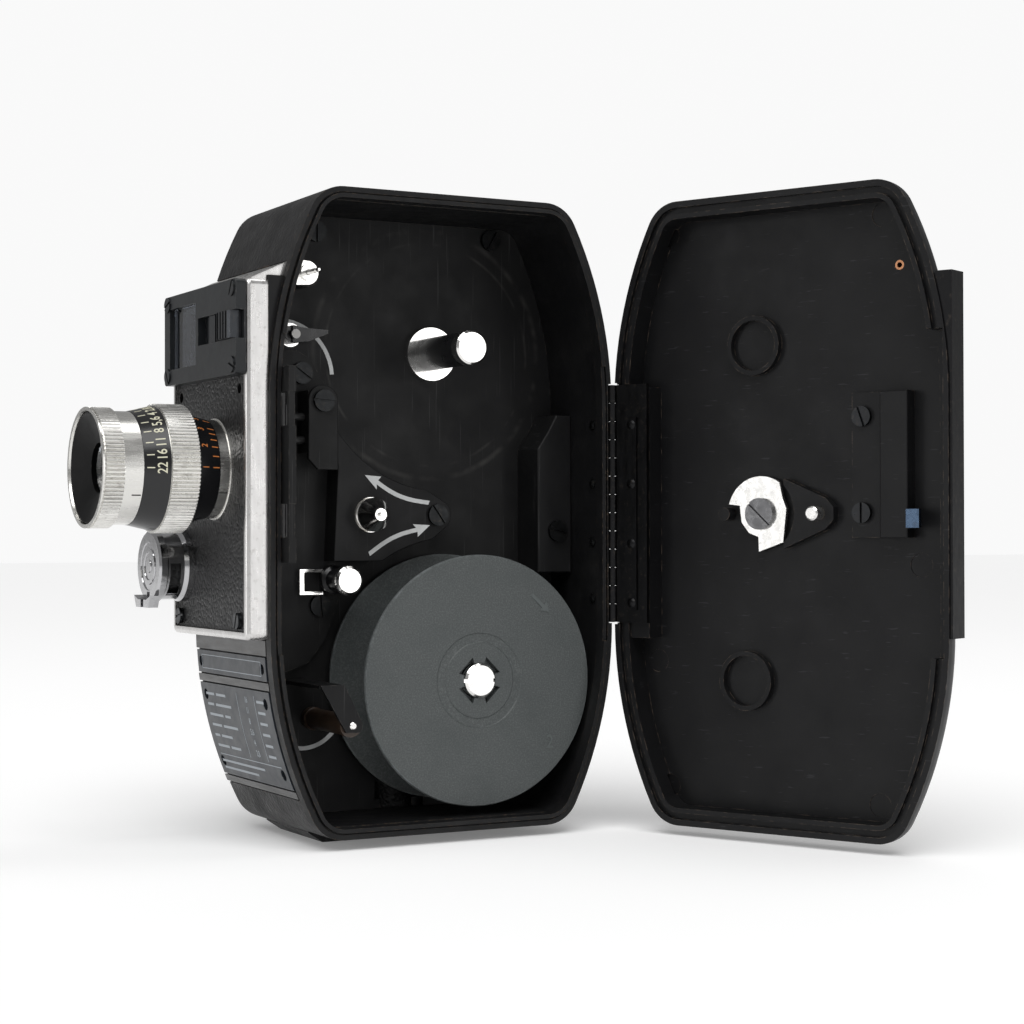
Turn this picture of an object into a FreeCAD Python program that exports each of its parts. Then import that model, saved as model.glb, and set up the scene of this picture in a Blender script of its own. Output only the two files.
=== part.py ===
import FreeCAD, Part
import math
import os
import re
import Sketcher

# Compact double-8 clockwork cine camera with its film door open.
# Case datum: hinge line at x 0, door joint plane at y 0, bottom of the case rim at z 0.
# x runs forward-negative (the lens looks along -x), y runs into the case, z is up.
# Every finished piece is then moved so that the tripod socket mouth is the origin.

doc = FreeCAD.newDocument("CineCamera")
sheet = doc.addObject("Spreadsheet::Sheet", "Params")

SIZES = [
    # case
    ("case_front", -72.2), ("case_back", -0.2), ("case_height", 120.8), ("case_depth", 42.0),
    ("side_radius", 78.0), ("side_low", 39.0), ("side_high", 81.8), ("corner_radius", 7.0),
    ("wall", 2.1), ("side_wall", 1.3), ("end_wall", 2.3), ("ledge", 4.0), ("far_wall", 2.0),
    ("far_round", 3.2), ("cover_skin", 0.5),
    ("lip_width", 1.0), ("lip_height", 0.6), ("rim_depth", 2.3),
    ("socket_x", -36.2), ("socket_y", 27.5), ("socket_z", -2.0), ("socket_radius", 3.175),
    # front block
    ("block_low", 37.2), ("block_high", 103.7), ("block_near", 1.0), ("block_far", 41.0),
    ("frame_front", -76.4), ("plate_front", -75.8), ("plate_back", -74.3), ("frame_lip", 1.4),
    # lens
    ("lens_y", 18.4), ("lens_z", 68.7), ("mount_radius", 7.9375), ("barrel_front", -97.22),
    ("aperture_front", -101.0), ("aperture_back", -93.25), ("focus_front", -93.2),
    ("focus_back", -78.35), ("knurl_front", -88.35), ("knurl_back", -83.0),
    ("knurl_radius", 12.0), ("front_radius", 11.1), ("ring_bore", 7.2),
    # viewfinder
    ("finder_front", -78.4), ("finder_low", 85.5), ("finder_high", 102.8),
    ("finder_far", 40.0), ("window_near", 22.3), ("window_far", 37.0),
    ("window_low", 88.5), ("window_high", 100.3), ("slot_low", 92.0), ("slot_high", 97.2),
    ("eye_y", 32.0), ("eye_z", 94.5),
    # release
    ("release_y", 36.6), ("release_z", 50.3), ("release_radius", 6.95),
    # film chamber
    ("chamber_x", -1.1), ("chamber_y", -2.3), ("plate_y", 24.5), ("plate_thick", 1.5),
    ("channel_y", 23.3), ("horn_y", 18.3),
    ("supply_x", -28.6), ("supply_z", 92.3), ("takeup_x", -26.7), ("takeup_z", 28.25),
    ("spindle_radius", 3.3), ("spindle_tip", 4.8), ("spool_radius", 24.2),
    ("spool_near", 5.8), ("spool_far", 22.65), ("flange", 0.7), ("core_radius", 10.5),
    ("guide_radius", 27.4), ("cone_x", -44.4), ("cone_z", 60.2),
    ("roller_x", -53.9), ("roller_z", 20.8), ("post_x", -50.4), ("post_z", 47.6),
    ("lever_x", -58.6), ("lever_z", 94.9), ("counter_x", -60.2), ("counter_z", 105.5),
    ("screw_radius", 2.1), ("screw_height", 0.8), ("slot_width", 0.45),
    # drive
    ("shutter_y", 27.2), ("shutter_radius", 11.4), ("barrel_x", -30.0), ("barrel_z", 62.0),
    ("barrel_radius", 18.0), ("governor_x", -54.0), ("governor_z", 36.0),
    ("dial_x", -58.0), ("dial_z", 24.0),
    # hinge and door
    ("knuckle_radius", 0.85), ("knuckle_clear", 0.97), ("hinge_low", 39.0),
    ("knuckle_pitch", 3.6), ("pin_radius", 0.4), ("door_gap", 0.4), ("door_thick", 7.5),
    ("floor_depth", 5.0), ("door_round", 6.4), ("door_open", 114.5),
    ("knob_x", -31.5), ("knob_z", 60.15), ("cam_radius", 7.3), ("door_pin_x", -44.0),
]

ALIASES = {name for name, number in SIZES}
for row, (name, number) in enumerate(SIZES, 1):
    sheet.set("A%d" % row, name)
    sheet.set("B%d" % row, str(number))
    sheet.setAlias("B%d" % row, name)
doc.recompute()


def bound(text):
    """Expression text with every sheet alias given its sheet name."""
    return re.sub(r"[a-z][a-z_]+", lambda hit: "Params." + hit.group(0)
                  if hit.group(0) in ALIASES else hit.group(0), str(text))


def size(text):
    """Number in mm for a sheet expression."""
    value = sheet.evalExpression(bound(text))
    return float(getattr(value, "Value", value))


def settle(piece, label, x="0", y="0", z="0"):
    """Name a finished piece and move it from the case datum to the socket datum."""
    piece.Label = label
    for axis, text in zip("xyz", (x, y, z)):
        piece.setExpression("Placement.Base." + axis, bound("(%s) - socket_%s" % (text, axis)))
    FINISHED.append(piece)
    return piece


def settle_in_chamber(piece, label, x="0", y="0", z="0"):
    """Settle a film chamber piece, drawn from the chamber's own datum."""
    return settle(piece, label, "%s + chamber_x" % x, "%s + chamber_y" % y, z)


def settle_on_door(piece, label):
    """Name a door piece, drawn closed, and swing it open about the hinge line."""
    piece.Label = label
    piece.Placement = FreeCAD.Placement(
        FreeCAD.Vector(0, 0, 0), FreeCAD.Rotation(FreeCAD.Vector(0, 0, 1), size("door_open")))
    piece.setExpression("Placement.Rotation.Angle", bound("door_open"))
    for axis in "xyz":
        piece.setExpression("Placement.Base." + axis, bound("-socket_%s" % axis))
    FINISHED.append(piece)
    return piece


FINISHED = []


# ---- sketch and solid helpers -------------------------------------------------

def new_body(name):
    return doc.addObject("PartDesign::Body", name)


def new_sketch(body, plane, offset):
    """Sketch on an origin plane moved along the case axis square to it."""
    sketch = body.newObject("Sketcher::SketchObject", body.Name + "_sketch")
    feature = [f for f in body.Origin.OriginFeatures if f.Role == plane][0]
    sketch.AttachmentSupport = [(feature, "")]
    sketch.MapMode = "FlatFace"
    sign = "-" if plane == "XZ_Plane" else ""
    sketch.setExpression("AttachmentOffset.Base.z", bound("%s(%s)" % (sign, offset)))
    return sketch


def bind(sketch, kind, *args):
    """Add a driving constraint whose last argument is an expression."""
    text = args[-1]
    index = sketch.addConstraint(Sketcher.Constraint(kind, *args[:-1], size(text)))
    sketch.setExpression("Constraints[%d]" % index, bound(text))


def circle(sketch, u, v, radius):
    centre = FreeCAD.Vector(size(u), size(v), 0)
    index = sketch.addGeometry(Part.Circle(centre, FreeCAD.Vector(0, 0, 1), size(radius)))
    bind(sketch, "DistanceX", -1, 1, index, 3, u)
    bind(sketch, "DistanceY", -1, 1, index, 3, v)
    bind(sketch, "Radius", index, radius)


def arc_between(start, end, radius, turn):
    """Arc geometry from start to end; turn +1 bends left, -1 bends right."""
    chord = end - start
    half = chord.Length / 2
    left = FreeCAD.Vector(-chord.y, chord.x, 0) / chord.Length
    centre = (start + end) / 2 + left * turn * math.sqrt(max(radius * radius - half * half, 0))
    first, last = (start, end) if turn > 0 else (end, start)
    a = math.atan2(first.y - centre.y, first.x - centre.x)
    b = math.atan2(last.y - centre.y, last.x - centre.x)
    ring = Part.Circle(centre, FreeCAD.Vector(0, 0, 1), radius)
    return Part.ArcOfCircle(ring, a, b if b > a else b + 2 * math.pi)


def outline(sketch, corners):
    """Closed outline; each corner is (u, v) or (u, v, radius, turn) for an arc to the next."""
    spots = [FreeCAD.Vector(size(c[0]), size(c[1]), 0) for c in corners]
    ends = []
    for i, corner in enumerate(corners):
        here, there = spots[i], spots[(i + 1) % len(spots)]
        if len(corner) == 4:
            index = sketch.addGeometry(arc_between(here, there, size(corner[2]), corner[3]))
            ends.append((index, 1, 2) if corner[3] > 0 else (index, 2, 1))
        else:
            index = sketch.addGeometry(Part.LineSegment(here, there))
            ends.append((index, 1, 2))
    for i, (index, head, tail) in enumerate(ends):
        after = ends[(i + 1) % len(ends)]
        sketch.addConstraint(Sketcher.Constraint("Coincident", index, tail, after[0], after[1]))
    for corner, (index, head, tail) in zip(corners, ends):
        bind(sketch, "DistanceX", -1, 1, index, head, corner[0])
        bind(sketch, "DistanceY", -1, 1, index, head, corner[1])
        if len(corner) == 4:
            bind(sketch, "Radius", index, corner[2])


def rectangle(sketch, u0, u1, v0, v1):
    outline(sketch, [(u0, v0), (u1, v0), (u1, v1), (u0, v1)])


def case_outline(sketch, inset, ends=None):
    """Case outline drawn inwards: flat sides, large side arcs, round corners.

    inset moves the front and back inwards, ends moves the top and bottom (same if None).
    """
    ends = ends or inset
    left, right = size("case_front + (%s)" % inset), size("case_back - (%s)" % inset)
    low, high = size(ends), size("case_height - (%s)" % ends)
    big, small = size("side_radius - (%s)" % inset), size("corner_radius - (%s)" % ends)
    z_low, z_high = size("side_low"), size("side_high")
    reach = big - small
    z_top, z_bottom = size("case_height - corner_radius"), size("corner_radius")
    turn = FreeCAD.Vector(0, 0, 1)
    spans = []
    for end, z_corner in ((z_low, z_bottom), (z_high, z_top)):
        run = math.sqrt(reach ** 2 - (z_corner - end) ** 2)
        spans.append((end, z_corner, run, math.atan2(z_corner - end, run)))
    (zl, zb, run_b, tilt_b), (zh, zt, run_t, tilt_t) = spans
    cx_l, cx_r = left + big, right - big
    pi = math.pi
    pieces = [
        Part.LineSegment(FreeCAD.Vector(left, zh, 0), FreeCAD.Vector(left, zl, 0)),
        Part.ArcOfCircle(Part.Circle(FreeCAD.Vector(cx_l, zl, 0), turn, big), pi, pi - tilt_b),
        Part.ArcOfCircle(Part.Circle(FreeCAD.Vector(cx_l - run_b, zb, 0), turn, small),
                         pi - tilt_b, 1.5 * pi),
        Part.LineSegment(FreeCAD.Vector(cx_l - run_b, low, 0), FreeCAD.Vector(cx_r + run_b, low, 0)),
        Part.ArcOfCircle(Part.Circle(FreeCAD.Vector(cx_r + run_b, zb, 0), turn, small),
                         1.5 * pi, 2 * pi + tilt_b),
        Part.ArcOfCircle(Part.Circle(FreeCAD.Vector(cx_r, zl, 0), turn, big), tilt_b, 0),
        Part.LineSegment(FreeCAD.Vector(right, zl, 0), FreeCAD.Vector(right, zh, 0)),
        Part.ArcOfCircle(Part.Circle(FreeCAD.Vector(cx_r, zh, 0), turn, big), 0, tilt_t),
        Part.ArcOfCircle(Part.Circle(FreeCAD.Vector(cx_r + run_t, zt, 0), turn, small),
                         tilt_t, 0.5 * pi),
        Part.LineSegment(FreeCAD.Vector(cx_r + run_t, high, 0), FreeCAD.Vector(cx_l - run_t, high, 0)),
        Part.ArcOfCircle(Part.Circle(FreeCAD.Vector(cx_l - run_t, zt, 0), turn, small),
                         0.5 * pi, pi - tilt_t),
        Part.ArcOfCircle(Part.Circle(FreeCAD.Vector(cx_l, zh, 0), turn, big), pi - tilt_t, pi),
    ]
    ids = [sketch.addGeometry(piece) for piece in pieces]
    for here, there in zip(ids, ids[1:] + ids[:1]):
        sketch.addConstraint(Sketcher.Constraint("Tangent", here, 2, there, 1))
    for index in (ids[0], ids[6]):
        sketch.addConstraint(Sketcher.Constraint("Vertical", index))
    for index in (ids[3], ids[9]):
        sketch.addConstraint(Sketcher.Constraint("Horizontal", index))
    for index in (ids[1], ids[5], ids[7], ids[11]):
        bind(sketch, "Radius", index, "side_radius - (%s)" % inset)
    for index in (ids[2], ids[4], ids[8], ids[10]):
        bind(sketch, "Radius", index, "corner_radius - (%s)" % ends)
    bind(sketch, "DistanceX", -1, 1, ids[0], 1, "case_front + (%s)" % inset)
    bind(sketch, "DistanceX", -1, 1, ids[6], 1, "case_back - (%s)" % inset)
    bind(sketch, "DistanceY", -1, 1, ids[3], 1, ends)
    bind(sketch, "DistanceY", -1, 1, ids[9], 1, "case_height - (%s)" % ends)
    for index, end, text in ((ids[0], 1, "side_high"), (ids[0], 2, "side_low"),
                             (ids[6], 1, "side_low"), (ids[6], 2, "side_high")):
        bind(sketch, "DistanceY", -1, 1, index, end, text)


def pad(body, sketch, length):
    """Pad along the plane normal: +x, +z, or -y for XZ sketches."""
    feature = body.newObject("PartDesign::Pad", body.Name + "_pad")
    feature.Profile = sketch
    feature.setExpression("Length", bound(length))
    sketch.Visibility = False
    return feature


def pocket(body, sketch, length):
    """Pocket against the plane normal: -x, -z, or +y for XZ sketches."""
    feature = body.newObject("PartDesign::Pocket", body.Name + "_pocket")
    feature.Profile = sketch
    feature.setExpression("Length", bound(length))
    sketch.Visibility = False
    return feature


def revolve(body, sketch, axis):
    feature = body.newObject("PartDesign::Revolution", body.Name + "_turned")
    feature.Profile = sketch
    feature.ReferenceAxis = (sketch, [axis])
    feature.Angle = 360
    sketch.Visibility = False
    return feature


def add_y(body, y0, y1, draw):
    """Material between two y levels with an outline drawn in (x, z)."""
    sketch = new_sketch(body, "XZ_Plane", y1)
    draw(sketch)
    return pad(body, sketch, "(%s) - (%s)" % (y1, y0))


def cut_y(body, y0, y1, draw):
    sketch = new_sketch(body, "XZ_Plane", y0)
    draw(sketch)
    return pocket(body, sketch, "(%s) - (%s)" % (y1, y0))


def add_x(body, x0, x1, draw):
    """Material between two x levels with an outline drawn in (y, z)."""
    sketch = new_sketch(body, "YZ_Plane", x0)
    draw(sketch)
    return pad(body, sketch, "(%s) - (%s)" % (x1, x0))


def cut_x(body, x0, x1, draw):
    sketch = new_sketch(body, "YZ_Plane", x1)
    draw(sketch)
    return pocket(body, sketch, "(%s) - (%s)" % (x1, x0))


def add_z(body, z0, z1, draw):
    sketch = new_sketch(body, "XY_Plane", z0)
    draw(sketch)
    return pad(body, sketch, "(%s) - (%s)" % (z1, z0))


def cut_z(body, z0, z1, draw):
    sketch = new_sketch(body, "XY_Plane", z1)
    draw(sketch)
    return pocket(body, sketch, "(%s) - (%s)" % (z1, z0))


def rect(u0, u1, v0, v1):
    return lambda sketch: rectangle(sketch, u0, u1, v0, v1)


def disc(u, v, radius):
    return lambda sketch: circle(sketch, u, v, radius)


def discs(spots):
    def draw(sketch):
        for u, v, radius in spots:
            circle(sketch, u, v, radius)
    return draw


def shape_of(corners):
    return lambda sketch: outline(sketch, corners)


def case_band(inset, ends=None):
    return lambda sketch: case_outline(sketch, inset, ends)


def ring_of(outer, inner):
    def draw(sketch):
        outer(sketch)
        inner(sketch)
    return draw


def round_edges(body, radius, chosen):
    """Fillet every edge of the tip for which chosen(edge) is true."""
    tip = body.Tip
    doc.recompute()
    names = ["Edge%d" % (i + 1) for i, edge in enumerate(tip.Shape.Edges) if chosen(edge)]
    feature = body.newObject("PartDesign::Fillet", body.Name + "_round")
    feature.Base = (tip, names)
    feature.setExpression("Radius", bound(radius))
    return feature


def flat_at(axis, text):
    """Edge test: the edge lies wholly at one level of an axis."""
    level = size(text)

    def chosen(edge):
        box = edge.BoundBox
        low = getattr(box, axis + "Min")
        high = getattr(box, axis + "Max")
        return abs(low - level) < 1e-3 and abs(high - level) < 1e-3
    return chosen


def turned(name, axis, profile):
    """Turned piece: profile points are (radius, y) about y, or (x, radius) about x."""
    body = new_body(name)
    sketch = new_sketch(body, "XY_Plane", "0")
    outline(sketch, profile)
    revolve(body, sketch, "V_Axis" if axis == "y" else "H_Axis")
    return body


def slotted_screw(name, axis, spot, face, head, shank, angle, radius="screw_radius"):
    """One slotted screw driven along +y, +x or -y, with its head standing from a face."""
    height = "screw_height"
    inward = {"y": FreeCAD.Vector(0, 1, 0), "x": FreeCAD.Vector(1, 0, 0),
              "-y": FreeCAD.Vector(0, -1, 0)}[axis]
    turn = FreeCAD.Rotation(FreeCAD.Vector(0, 0, 1), inward)
    level = FreeCAD.Vector(abs(inward.x), abs(inward.y), 0) * size(face)
    base = FreeCAD.Vector(*[size(c) for c in spot]) + level - inward * size(height)
    cap = doc.addObject("Part::Cylinder", name + "_head")
    cap.setExpression("Radius", bound(radius))
    cap.setExpression("Height", bound(height))
    stem = doc.addObject("Part::Cylinder", name + "_shank")
    stem.Radius = head
    stem.setExpression("Height", bound("%s + %s" % (height, shank)))
    solid = doc.addObject("Part::Fuse", name + "_blank")
    solid.Base, solid.Tool = cap, stem
    slot = doc.addObject("Part::Box", name + "_slot")
    slot.setExpression("Length", bound("2.4 * " + radius))
    slot.setExpression("Width", bound("slot_width"))
    slot.setExpression("Height", bound("screw_height"))
    slot.Placement = FreeCAD.Placement(
        FreeCAD.Vector(-1.2 * size(radius), -size("slot_width") / 2, -size(height) / 2),
        FreeCAD.Rotation())
    turned_slot = doc.addObject("Part::Cut", name + "_cut")
    turned_slot.Base, turned_slot.Tool = solid, slot
    spin = FreeCAD.Rotation(FreeCAD.Vector(0, 0, 1), angle)
    turned_slot.Placement = FreeCAD.Placement(base, turn.multiply(spin))
    return turned_slot


def group(name, members):
    compound = doc.addObject("Part::Compound", name)
    compound.Links = members
    return compound


def toothed(name, radius, depth, teeth):
    """Closed ring of teeth as a flat face in the xy plane, for knurls and gears."""
    points = []
    for i in range(teeth):
        for reach, shift in ((radius - depth, 0.0), (radius, 0.35), (radius, 0.65)):
            angle = 2 * math.pi * (i + shift) / teeth
            points.append(FreeCAD.Vector(reach * math.cos(angle), reach * math.sin(angle), 0))
    return Part.Face(Part.makePolygon(points + points[:1]))


def coded(name, shape):
    piece = doc.addObject("Part::Feature", name)
    piece.Shape = shape
    return piece


# ---- case ----------------------------------------------------------------------

FRONT_PAD = [("case_front", "block_low"), ("-67.5", "block_low"), ("-67.5", "block_high"),
             ("case_front", "block_high")]


PLATE_BACK = "plate_y + plate_thick + chamber_y"
RIVETS = ("43.5", "54.8", "66.4", "78")
RIVET_Y = "5.2"


def case_shell():
    body = new_body("case_shell")
    add_y(body, "rim_depth - 0.1", "case_depth", case_band("cover_skin"))
    round_edges(body, "far_round", flat_at("Y", "case_depth"))
    add_y(body, "0", "rim_depth", case_band("0"))
    add_y(body, "block_near", "block_far", shape_of(FRONT_PAD))
    cut_y(body, "0", "rim_depth", case_band("wall"))
    cut_y(body, "rim_depth", PLATE_BACK, case_band("side_wall", "end_wall"))
    cut_y(body, PLATE_BACK, "case_depth - far_wall", case_band("ledge"))
    add_y(body, "-lip_height", "0.05",
          ring_of(case_band("lip_width + 0.35"), case_band("wall")))
    cut_y(body, "0", "0.5", ring_of(case_band("lip_width"), case_band("lip_width + 0.35")))
    cut_y(body, "-1", "0", rect("-6", "0", "hinge_low - 3.6", "hinge_low + 13 * knuckle_pitch + 3.6"))
    cut_y(body, "-1", "0", rect("-73", "-66", "34.5", "93"))
    cut_y(body, "-1", "9.1", rect("-0.82", "0", "hinge_low - 0.1",
                                  "hinge_low + 13 * knuckle_pitch + 0.1"))
    cut_z(body, "hinge_low - 0.2", "hinge_low + 13 * knuckle_pitch + 0.2",
          disc("0", "0", "knuckle_clear"))
    cut_x(body, "-73", "-67", disc("lens_y", "lens_z", "8.4"))
    cut_x(body, "-73", "-65.5", rect("window_near", "window_far", "window_low", "window_high"))
    cut_x(body, "-73", "-67", disc("release_y", "release_z", "1.7"))
    cut_x(body, "-8", "0", disc("eye_y", "eye_z", "4.5"))
    cut_y(body, "39", "43", discs([("barrel_x", "barrel_z", "2.6"), ("dial_x", "dial_z", "1.6")]))
    cut_z(body, "-1", "5", disc("socket_x", "socket_y", "5.1"))
    cut_x(body, "-3", "0", discs([(RIVET_Y, z, "0.62") for z in RIVETS]))
    return settle(body, "case_shell")


def case_covering():
    """Grained covering: a band round the wall and a panel on the far face."""
    band = new_body("cover_band")
    add_y(band, "rim_depth + 0.03", "case_depth - far_round - 0.3",
          ring_of(case_band("0"), case_band("cover_skin")))
    cut_y(band, "0", "case_depth", rect("-73", "-58", "7.5", "106.6"))
    cut_y(band, "0", "9.3", rect("-1", "0", "hinge_low - 0.4",
                                 "hinge_low + 13 * knuckle_pitch + 0.4"))
    cut_x(band, "-4", "1", disc("eye_y", "eye_z", "6.3"))
    cut_z(band, "-1", "1", rect("-60", "-12", "12.5", "34.5"))
    panel = new_body("cover_panel")
    add_y(panel, "case_depth + 0.02", "case_depth + 0.5", case_band("ledge + 0.6"))
    cut_y(panel, "case_depth", "case_depth + 1",
          discs([("barrel_x", "barrel_z", "6.4"), ("dial_x", "dial_z", "6.4")]))
    return settle(group("covering", [band, panel]), "case_covering")


def base_foot():
    """Foot under the case with the tripod bush through it."""
    body = new_body("base_foot")
    add_y(body, "13", "34", shape_of([("-56.5", "socket_z"), ("-15.5", "socket_z"),
                                      ("-13", "0"), ("-13", "0.48"), ("-59.5", "0.48"),
                                      ("-59.5", "0")]))
    add_z(body, "0.4", "7.5", disc("socket_x", "socket_y", "5"))
    cut_z(body, "socket_z", "6.5", disc("socket_x", "socket_y", "socket_radius"))
    return settle(body, "base_foot")


def wall_arc(low, high, inset, proud):
    """Strip following the curved lower front wall between two heights."""
    rise_low, rise_high = "(side_low - %s)" % low, "(side_low - %s)" % high

    def spot(radius, rise):
        return "case_front + side_radius - sqrt((%s)^2 - %s^2)" % (radius, rise)
    inner = "side_radius - (%s)" % inset
    outer = "side_radius + (%s)" % proud
    return shape_of([(spot(outer, rise_high), high, outer, 1), (spot(outer, rise_low), low),
                     (spot(inner, rise_low), low, inner, -1), (spot(inner, rise_high), high)])


def label_plates():
    """Name plate and exposure plate on the lower front wall, both left blank."""
    name = new_body("name_plate")
    add_y(name, "3", "39", wall_arc("29.5", "33.9", "0.48", "0.1"))
    cut_x(name, "-73", "-66", discs([(y, "31.7", "1.0") for y in ("4.9", "37.1")]))
    table = new_body("table_plate")
    add_y(table, "3", "39", wall_arc("9.3", "27.5", "0.48", "0.1"))
    cut_x(table, "-73", "-62", discs([(y, z, "1.05") for y in ("5.4", "36.6")
                                      for z in ("12", "25.2")]))
    return settle(group("plates", [name, table]), "label_plates")


def trim_strips():
    """Plain raised strips above, between and below the two plates."""
    strips = []
    for number, (low, high) in enumerate((("34.2", "37"), ("27.8", "29.2"), ("7.7", "9.0"))):
        strip = new_body("strip%d" % number)
        add_y(strip, "2.6", "39.4", wall_arc(low, high, "0.48", "0.05"))
        strips.append(strip)
    return settle(group("strips", strips), "trim_strips")


def front_frame():
    """Bright frame round the front plate with the sloping top that meets the wall."""
    body = new_body("front_frame")
    add_x(body, "frame_front", "case_front - 0.02",
          rect("block_near", "block_far", "block_low", "block_high - 0.6"))
    round_edges(body, "1.3", lambda e: e.BoundBox.XLength > 4 and e.BoundBox.YLength < 0.01
                and e.BoundBox.ZLength < 0.01)
    round_edges(body, "0.8", flat_at("X", "frame_front"))
    add_y(body, "block_near + 0.5", "block_far - 0.5",
          shape_of([("-75.4", "101.9"), ("-72.25", "101.9"), ("-72.25", "block_high + 0.03"),
                    ("-66", "block_high + 0.03"), ("-66", "106.4"), ("-68.3", "106.4"),
                    ("-75.4", "103.1")]))
    cut_y(body, "0", "case_depth", case_band("0.48"))
    cut_y(body, "0", "rim_depth + 0.02", case_band("-0.02"))
    cut_x(body, "frame_front - 1", "plate_front + 0.12", disc("release_y", "release_z", "7.0"))
    cut_x(body, "plate_back - 0.5", "case_front + 0.5", disc("release_y", "release_z", "1.7"))
    inner = ("block_near + frame_lip", "block_far - frame_lip",
             "block_low + frame_lip", "block_high - 0.6 - frame_lip")
    cut_x(body, "frame_front - 1", "plate_back", rect(*inner))
    cut_x(body, "plate_back - 0.1", "case_front + 0.1",
          rect("block_near + 3.4", "block_far - 3.4", "block_low + 3.4", "block_high - 4"))
    return settle(body, "front_frame")


FRONT_SCREWS = [("6.2", "40.6"), ("37.6", "40.6"), ("6.2", "83.2"), ("37.6", "83.2")]
FINDER_SCREWS = [("3.2", "101.2"), ("38", "101.2"), ("3.2", "87.3"), ("38", "87.3")]


def front_plate():
    """Crackle-finished plate that carries the lens seat and the release drum."""
    body = new_body("front_plate")
    gap = "0.04"
    add_x(body, "plate_front", "plate_back - 0.02",
          rect("block_near + frame_lip + " + gap, "block_far - frame_lip - " + gap,
               "block_low + frame_lip + " + gap, "block_high - 0.6 - frame_lip - " + gap))
    add_x(body, "-81.2", "plate_front + 0.1", disc("release_y", "release_z", "5.2"))
    cut_x(body, "-82", "-74", disc("release_y", "release_z", "1.6"))
    cut_x(body, "-77", "-74", disc("lens_y", "lens_z", "8.8"))
    cut_x(body, "-77", "-74", rect("window_near", "window_far", "window_low", "window_high"))
    cut_x(body, "-77", "-74", discs([(y, z, "0.95") for y, z in FRONT_SCREWS]))
    return settle(body, "front_plate")


def finder_housing():
    body = new_body("finder_housing")
    add_x(body, "finder_front", "frame_front - 0.03",
          rect("block_near + 0.1", "finder_far", "finder_low", "finder_high"))
    round_edges(body, "0.9", lambda e: e.BoundBox.XLength > 1.5 and e.BoundBox.YLength < 0.01
                and e.BoundBox.ZLength < 0.01)
    add_x(body, "frame_front - 0.05", "plate_front - 0.02",
          rect("block_near + frame_lip + 0.2", "block_far - frame_lip - 0.4",
               "finder_low", "block_high - frame_lip - 0.8"))
    cut_x(body, "-80", "-75", rect("window_near", "window_far", "window_low", "window_high"))
    cut_x(body, "-80", "finder_front + 1.6", rect("0", "21", "slot_low", "slot_high"))
    cut_x(body, "-80", "finder_front + 0.5", discs([(y, z, "1.55") for y, z in FINDER_SCREWS]))
    return settle(body, "finder_housing")


def finder_slider():
    """Ribbed slider that moves the finder mask across."""
    body = new_body("finder_slider")
    add_z(body, "slot_low + 0.1", "slot_high - 0.1",
          shape_of([("-76.85", "2.4"), ("-79.0", "2.4"), ("-79.3", "3.2"), ("-79.3", "8.6"),
                    ("-79.0", "9.4"), ("-77.6", "9.4"), ("-77.6", "12.6"), ("-78.1", "12.6"),
                    ("-78.1", "15.4"), ("-77.6", "15.4"), ("-77.6", "17.4"), ("-76.85", "17.4")]))
    for y in ("3.6", "5", "6.4", "7.8"):
        cut_z(body, "90", "99", rect("-79.6", "-79.05", y, y + " + 0.6"))
    return settle(body, "finder_slider")


def finder_tube():
    """Dark tunnel through the case to the eyepiece ring at the back."""
    body = new_body("finder_tube")
    add_x(body, "-65.9", "-6.6", rect("26.5", "37.4", "89", "100"))
    add_x(body, "-6.7", "-0.15", disc("eye_y", "eye_z", "4.4"))
    add_x(body, "-0.18", "2.0", disc("eye_y", "eye_z", "6.1"))
    round_edges(body, "0.6", flat_at("X", "2.0"))
    cut_x(body, "-66", "-7.4", rect("27.3", "36.6", "89.8", "99.2"))
    cut_x(body, "-8", "3", disc("eye_y", "eye_z", "3.4"))
    return settle(body, "finder_tube")


# ---- lens ----------------------------------------------------------------------

def lens_turned(name, profile):
    return settle(turned(name, "x", profile), name, y="lens_y", z="lens_z")


def tube_profile(x0, x1, outer, inner):
    return [(x0, inner), (x1, inner), (x1, outer), (x0, outer)]


def lens_mount():
    """Lens seat ring let into the front plate."""
    lens_turned("lens_mount", [("-76.4", "mount_radius + 0.02"), ("-71.2", "mount_radius + 0.02"),
                               ("-71.2", "8.35"), ("-74.2", "8.35"), ("-74.2", "8.75"),
                               ("plate_front - 0.02", "8.75"), ("plate_front - 0.02", "9.6"),
                               ("-76.3", "9.6"), ("-76.4", "9.5")])


def lens_barrel():
    """Fixed barrel: index ring, thread into the seat, long inner tube."""
    lens_turned("lens_barrel", [("barrel_front", "5.6"), ("-71.4", "5.6"), ("-71.4", "mount_radius"),
                                ("-76.42", "mount_radius"), ("-76.42", "9.3"), ("-78.3", "9.3"),
                                ("-78.3", "7.1"), ("barrel_front", "7.1")])


def knurled_ring(name, profile, x0, x1, radius, teeth, bore):
    """Turned ring with a band of fine teeth."""
    ring = turned(name + "_ring", "x", profile)
    doc.recompute()
    face = toothed(name, size(radius), 0.28, teeth)
    hole = Part.Face(Part.Wire(Part.makeCircle(size(bore))))
    band = face.cut(hole).extrude(FreeCAD.Vector(0, 0, size(x1) - size(x0)))
    band.rotate(FreeCAD.Vector(0, 0, 0), FreeCAD.Vector(0, 1, 0), 90)
    band.translate(FreeCAD.Vector(size(x0), 0, 0))
    teeth_piece = coded(name + "_teeth", band)
    joined = doc.addObject("Part::Fuse", name)
    joined.Base, joined.Tool = ring, teeth_piece
    return settle(joined, name, y="lens_y", z="lens_z")


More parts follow.
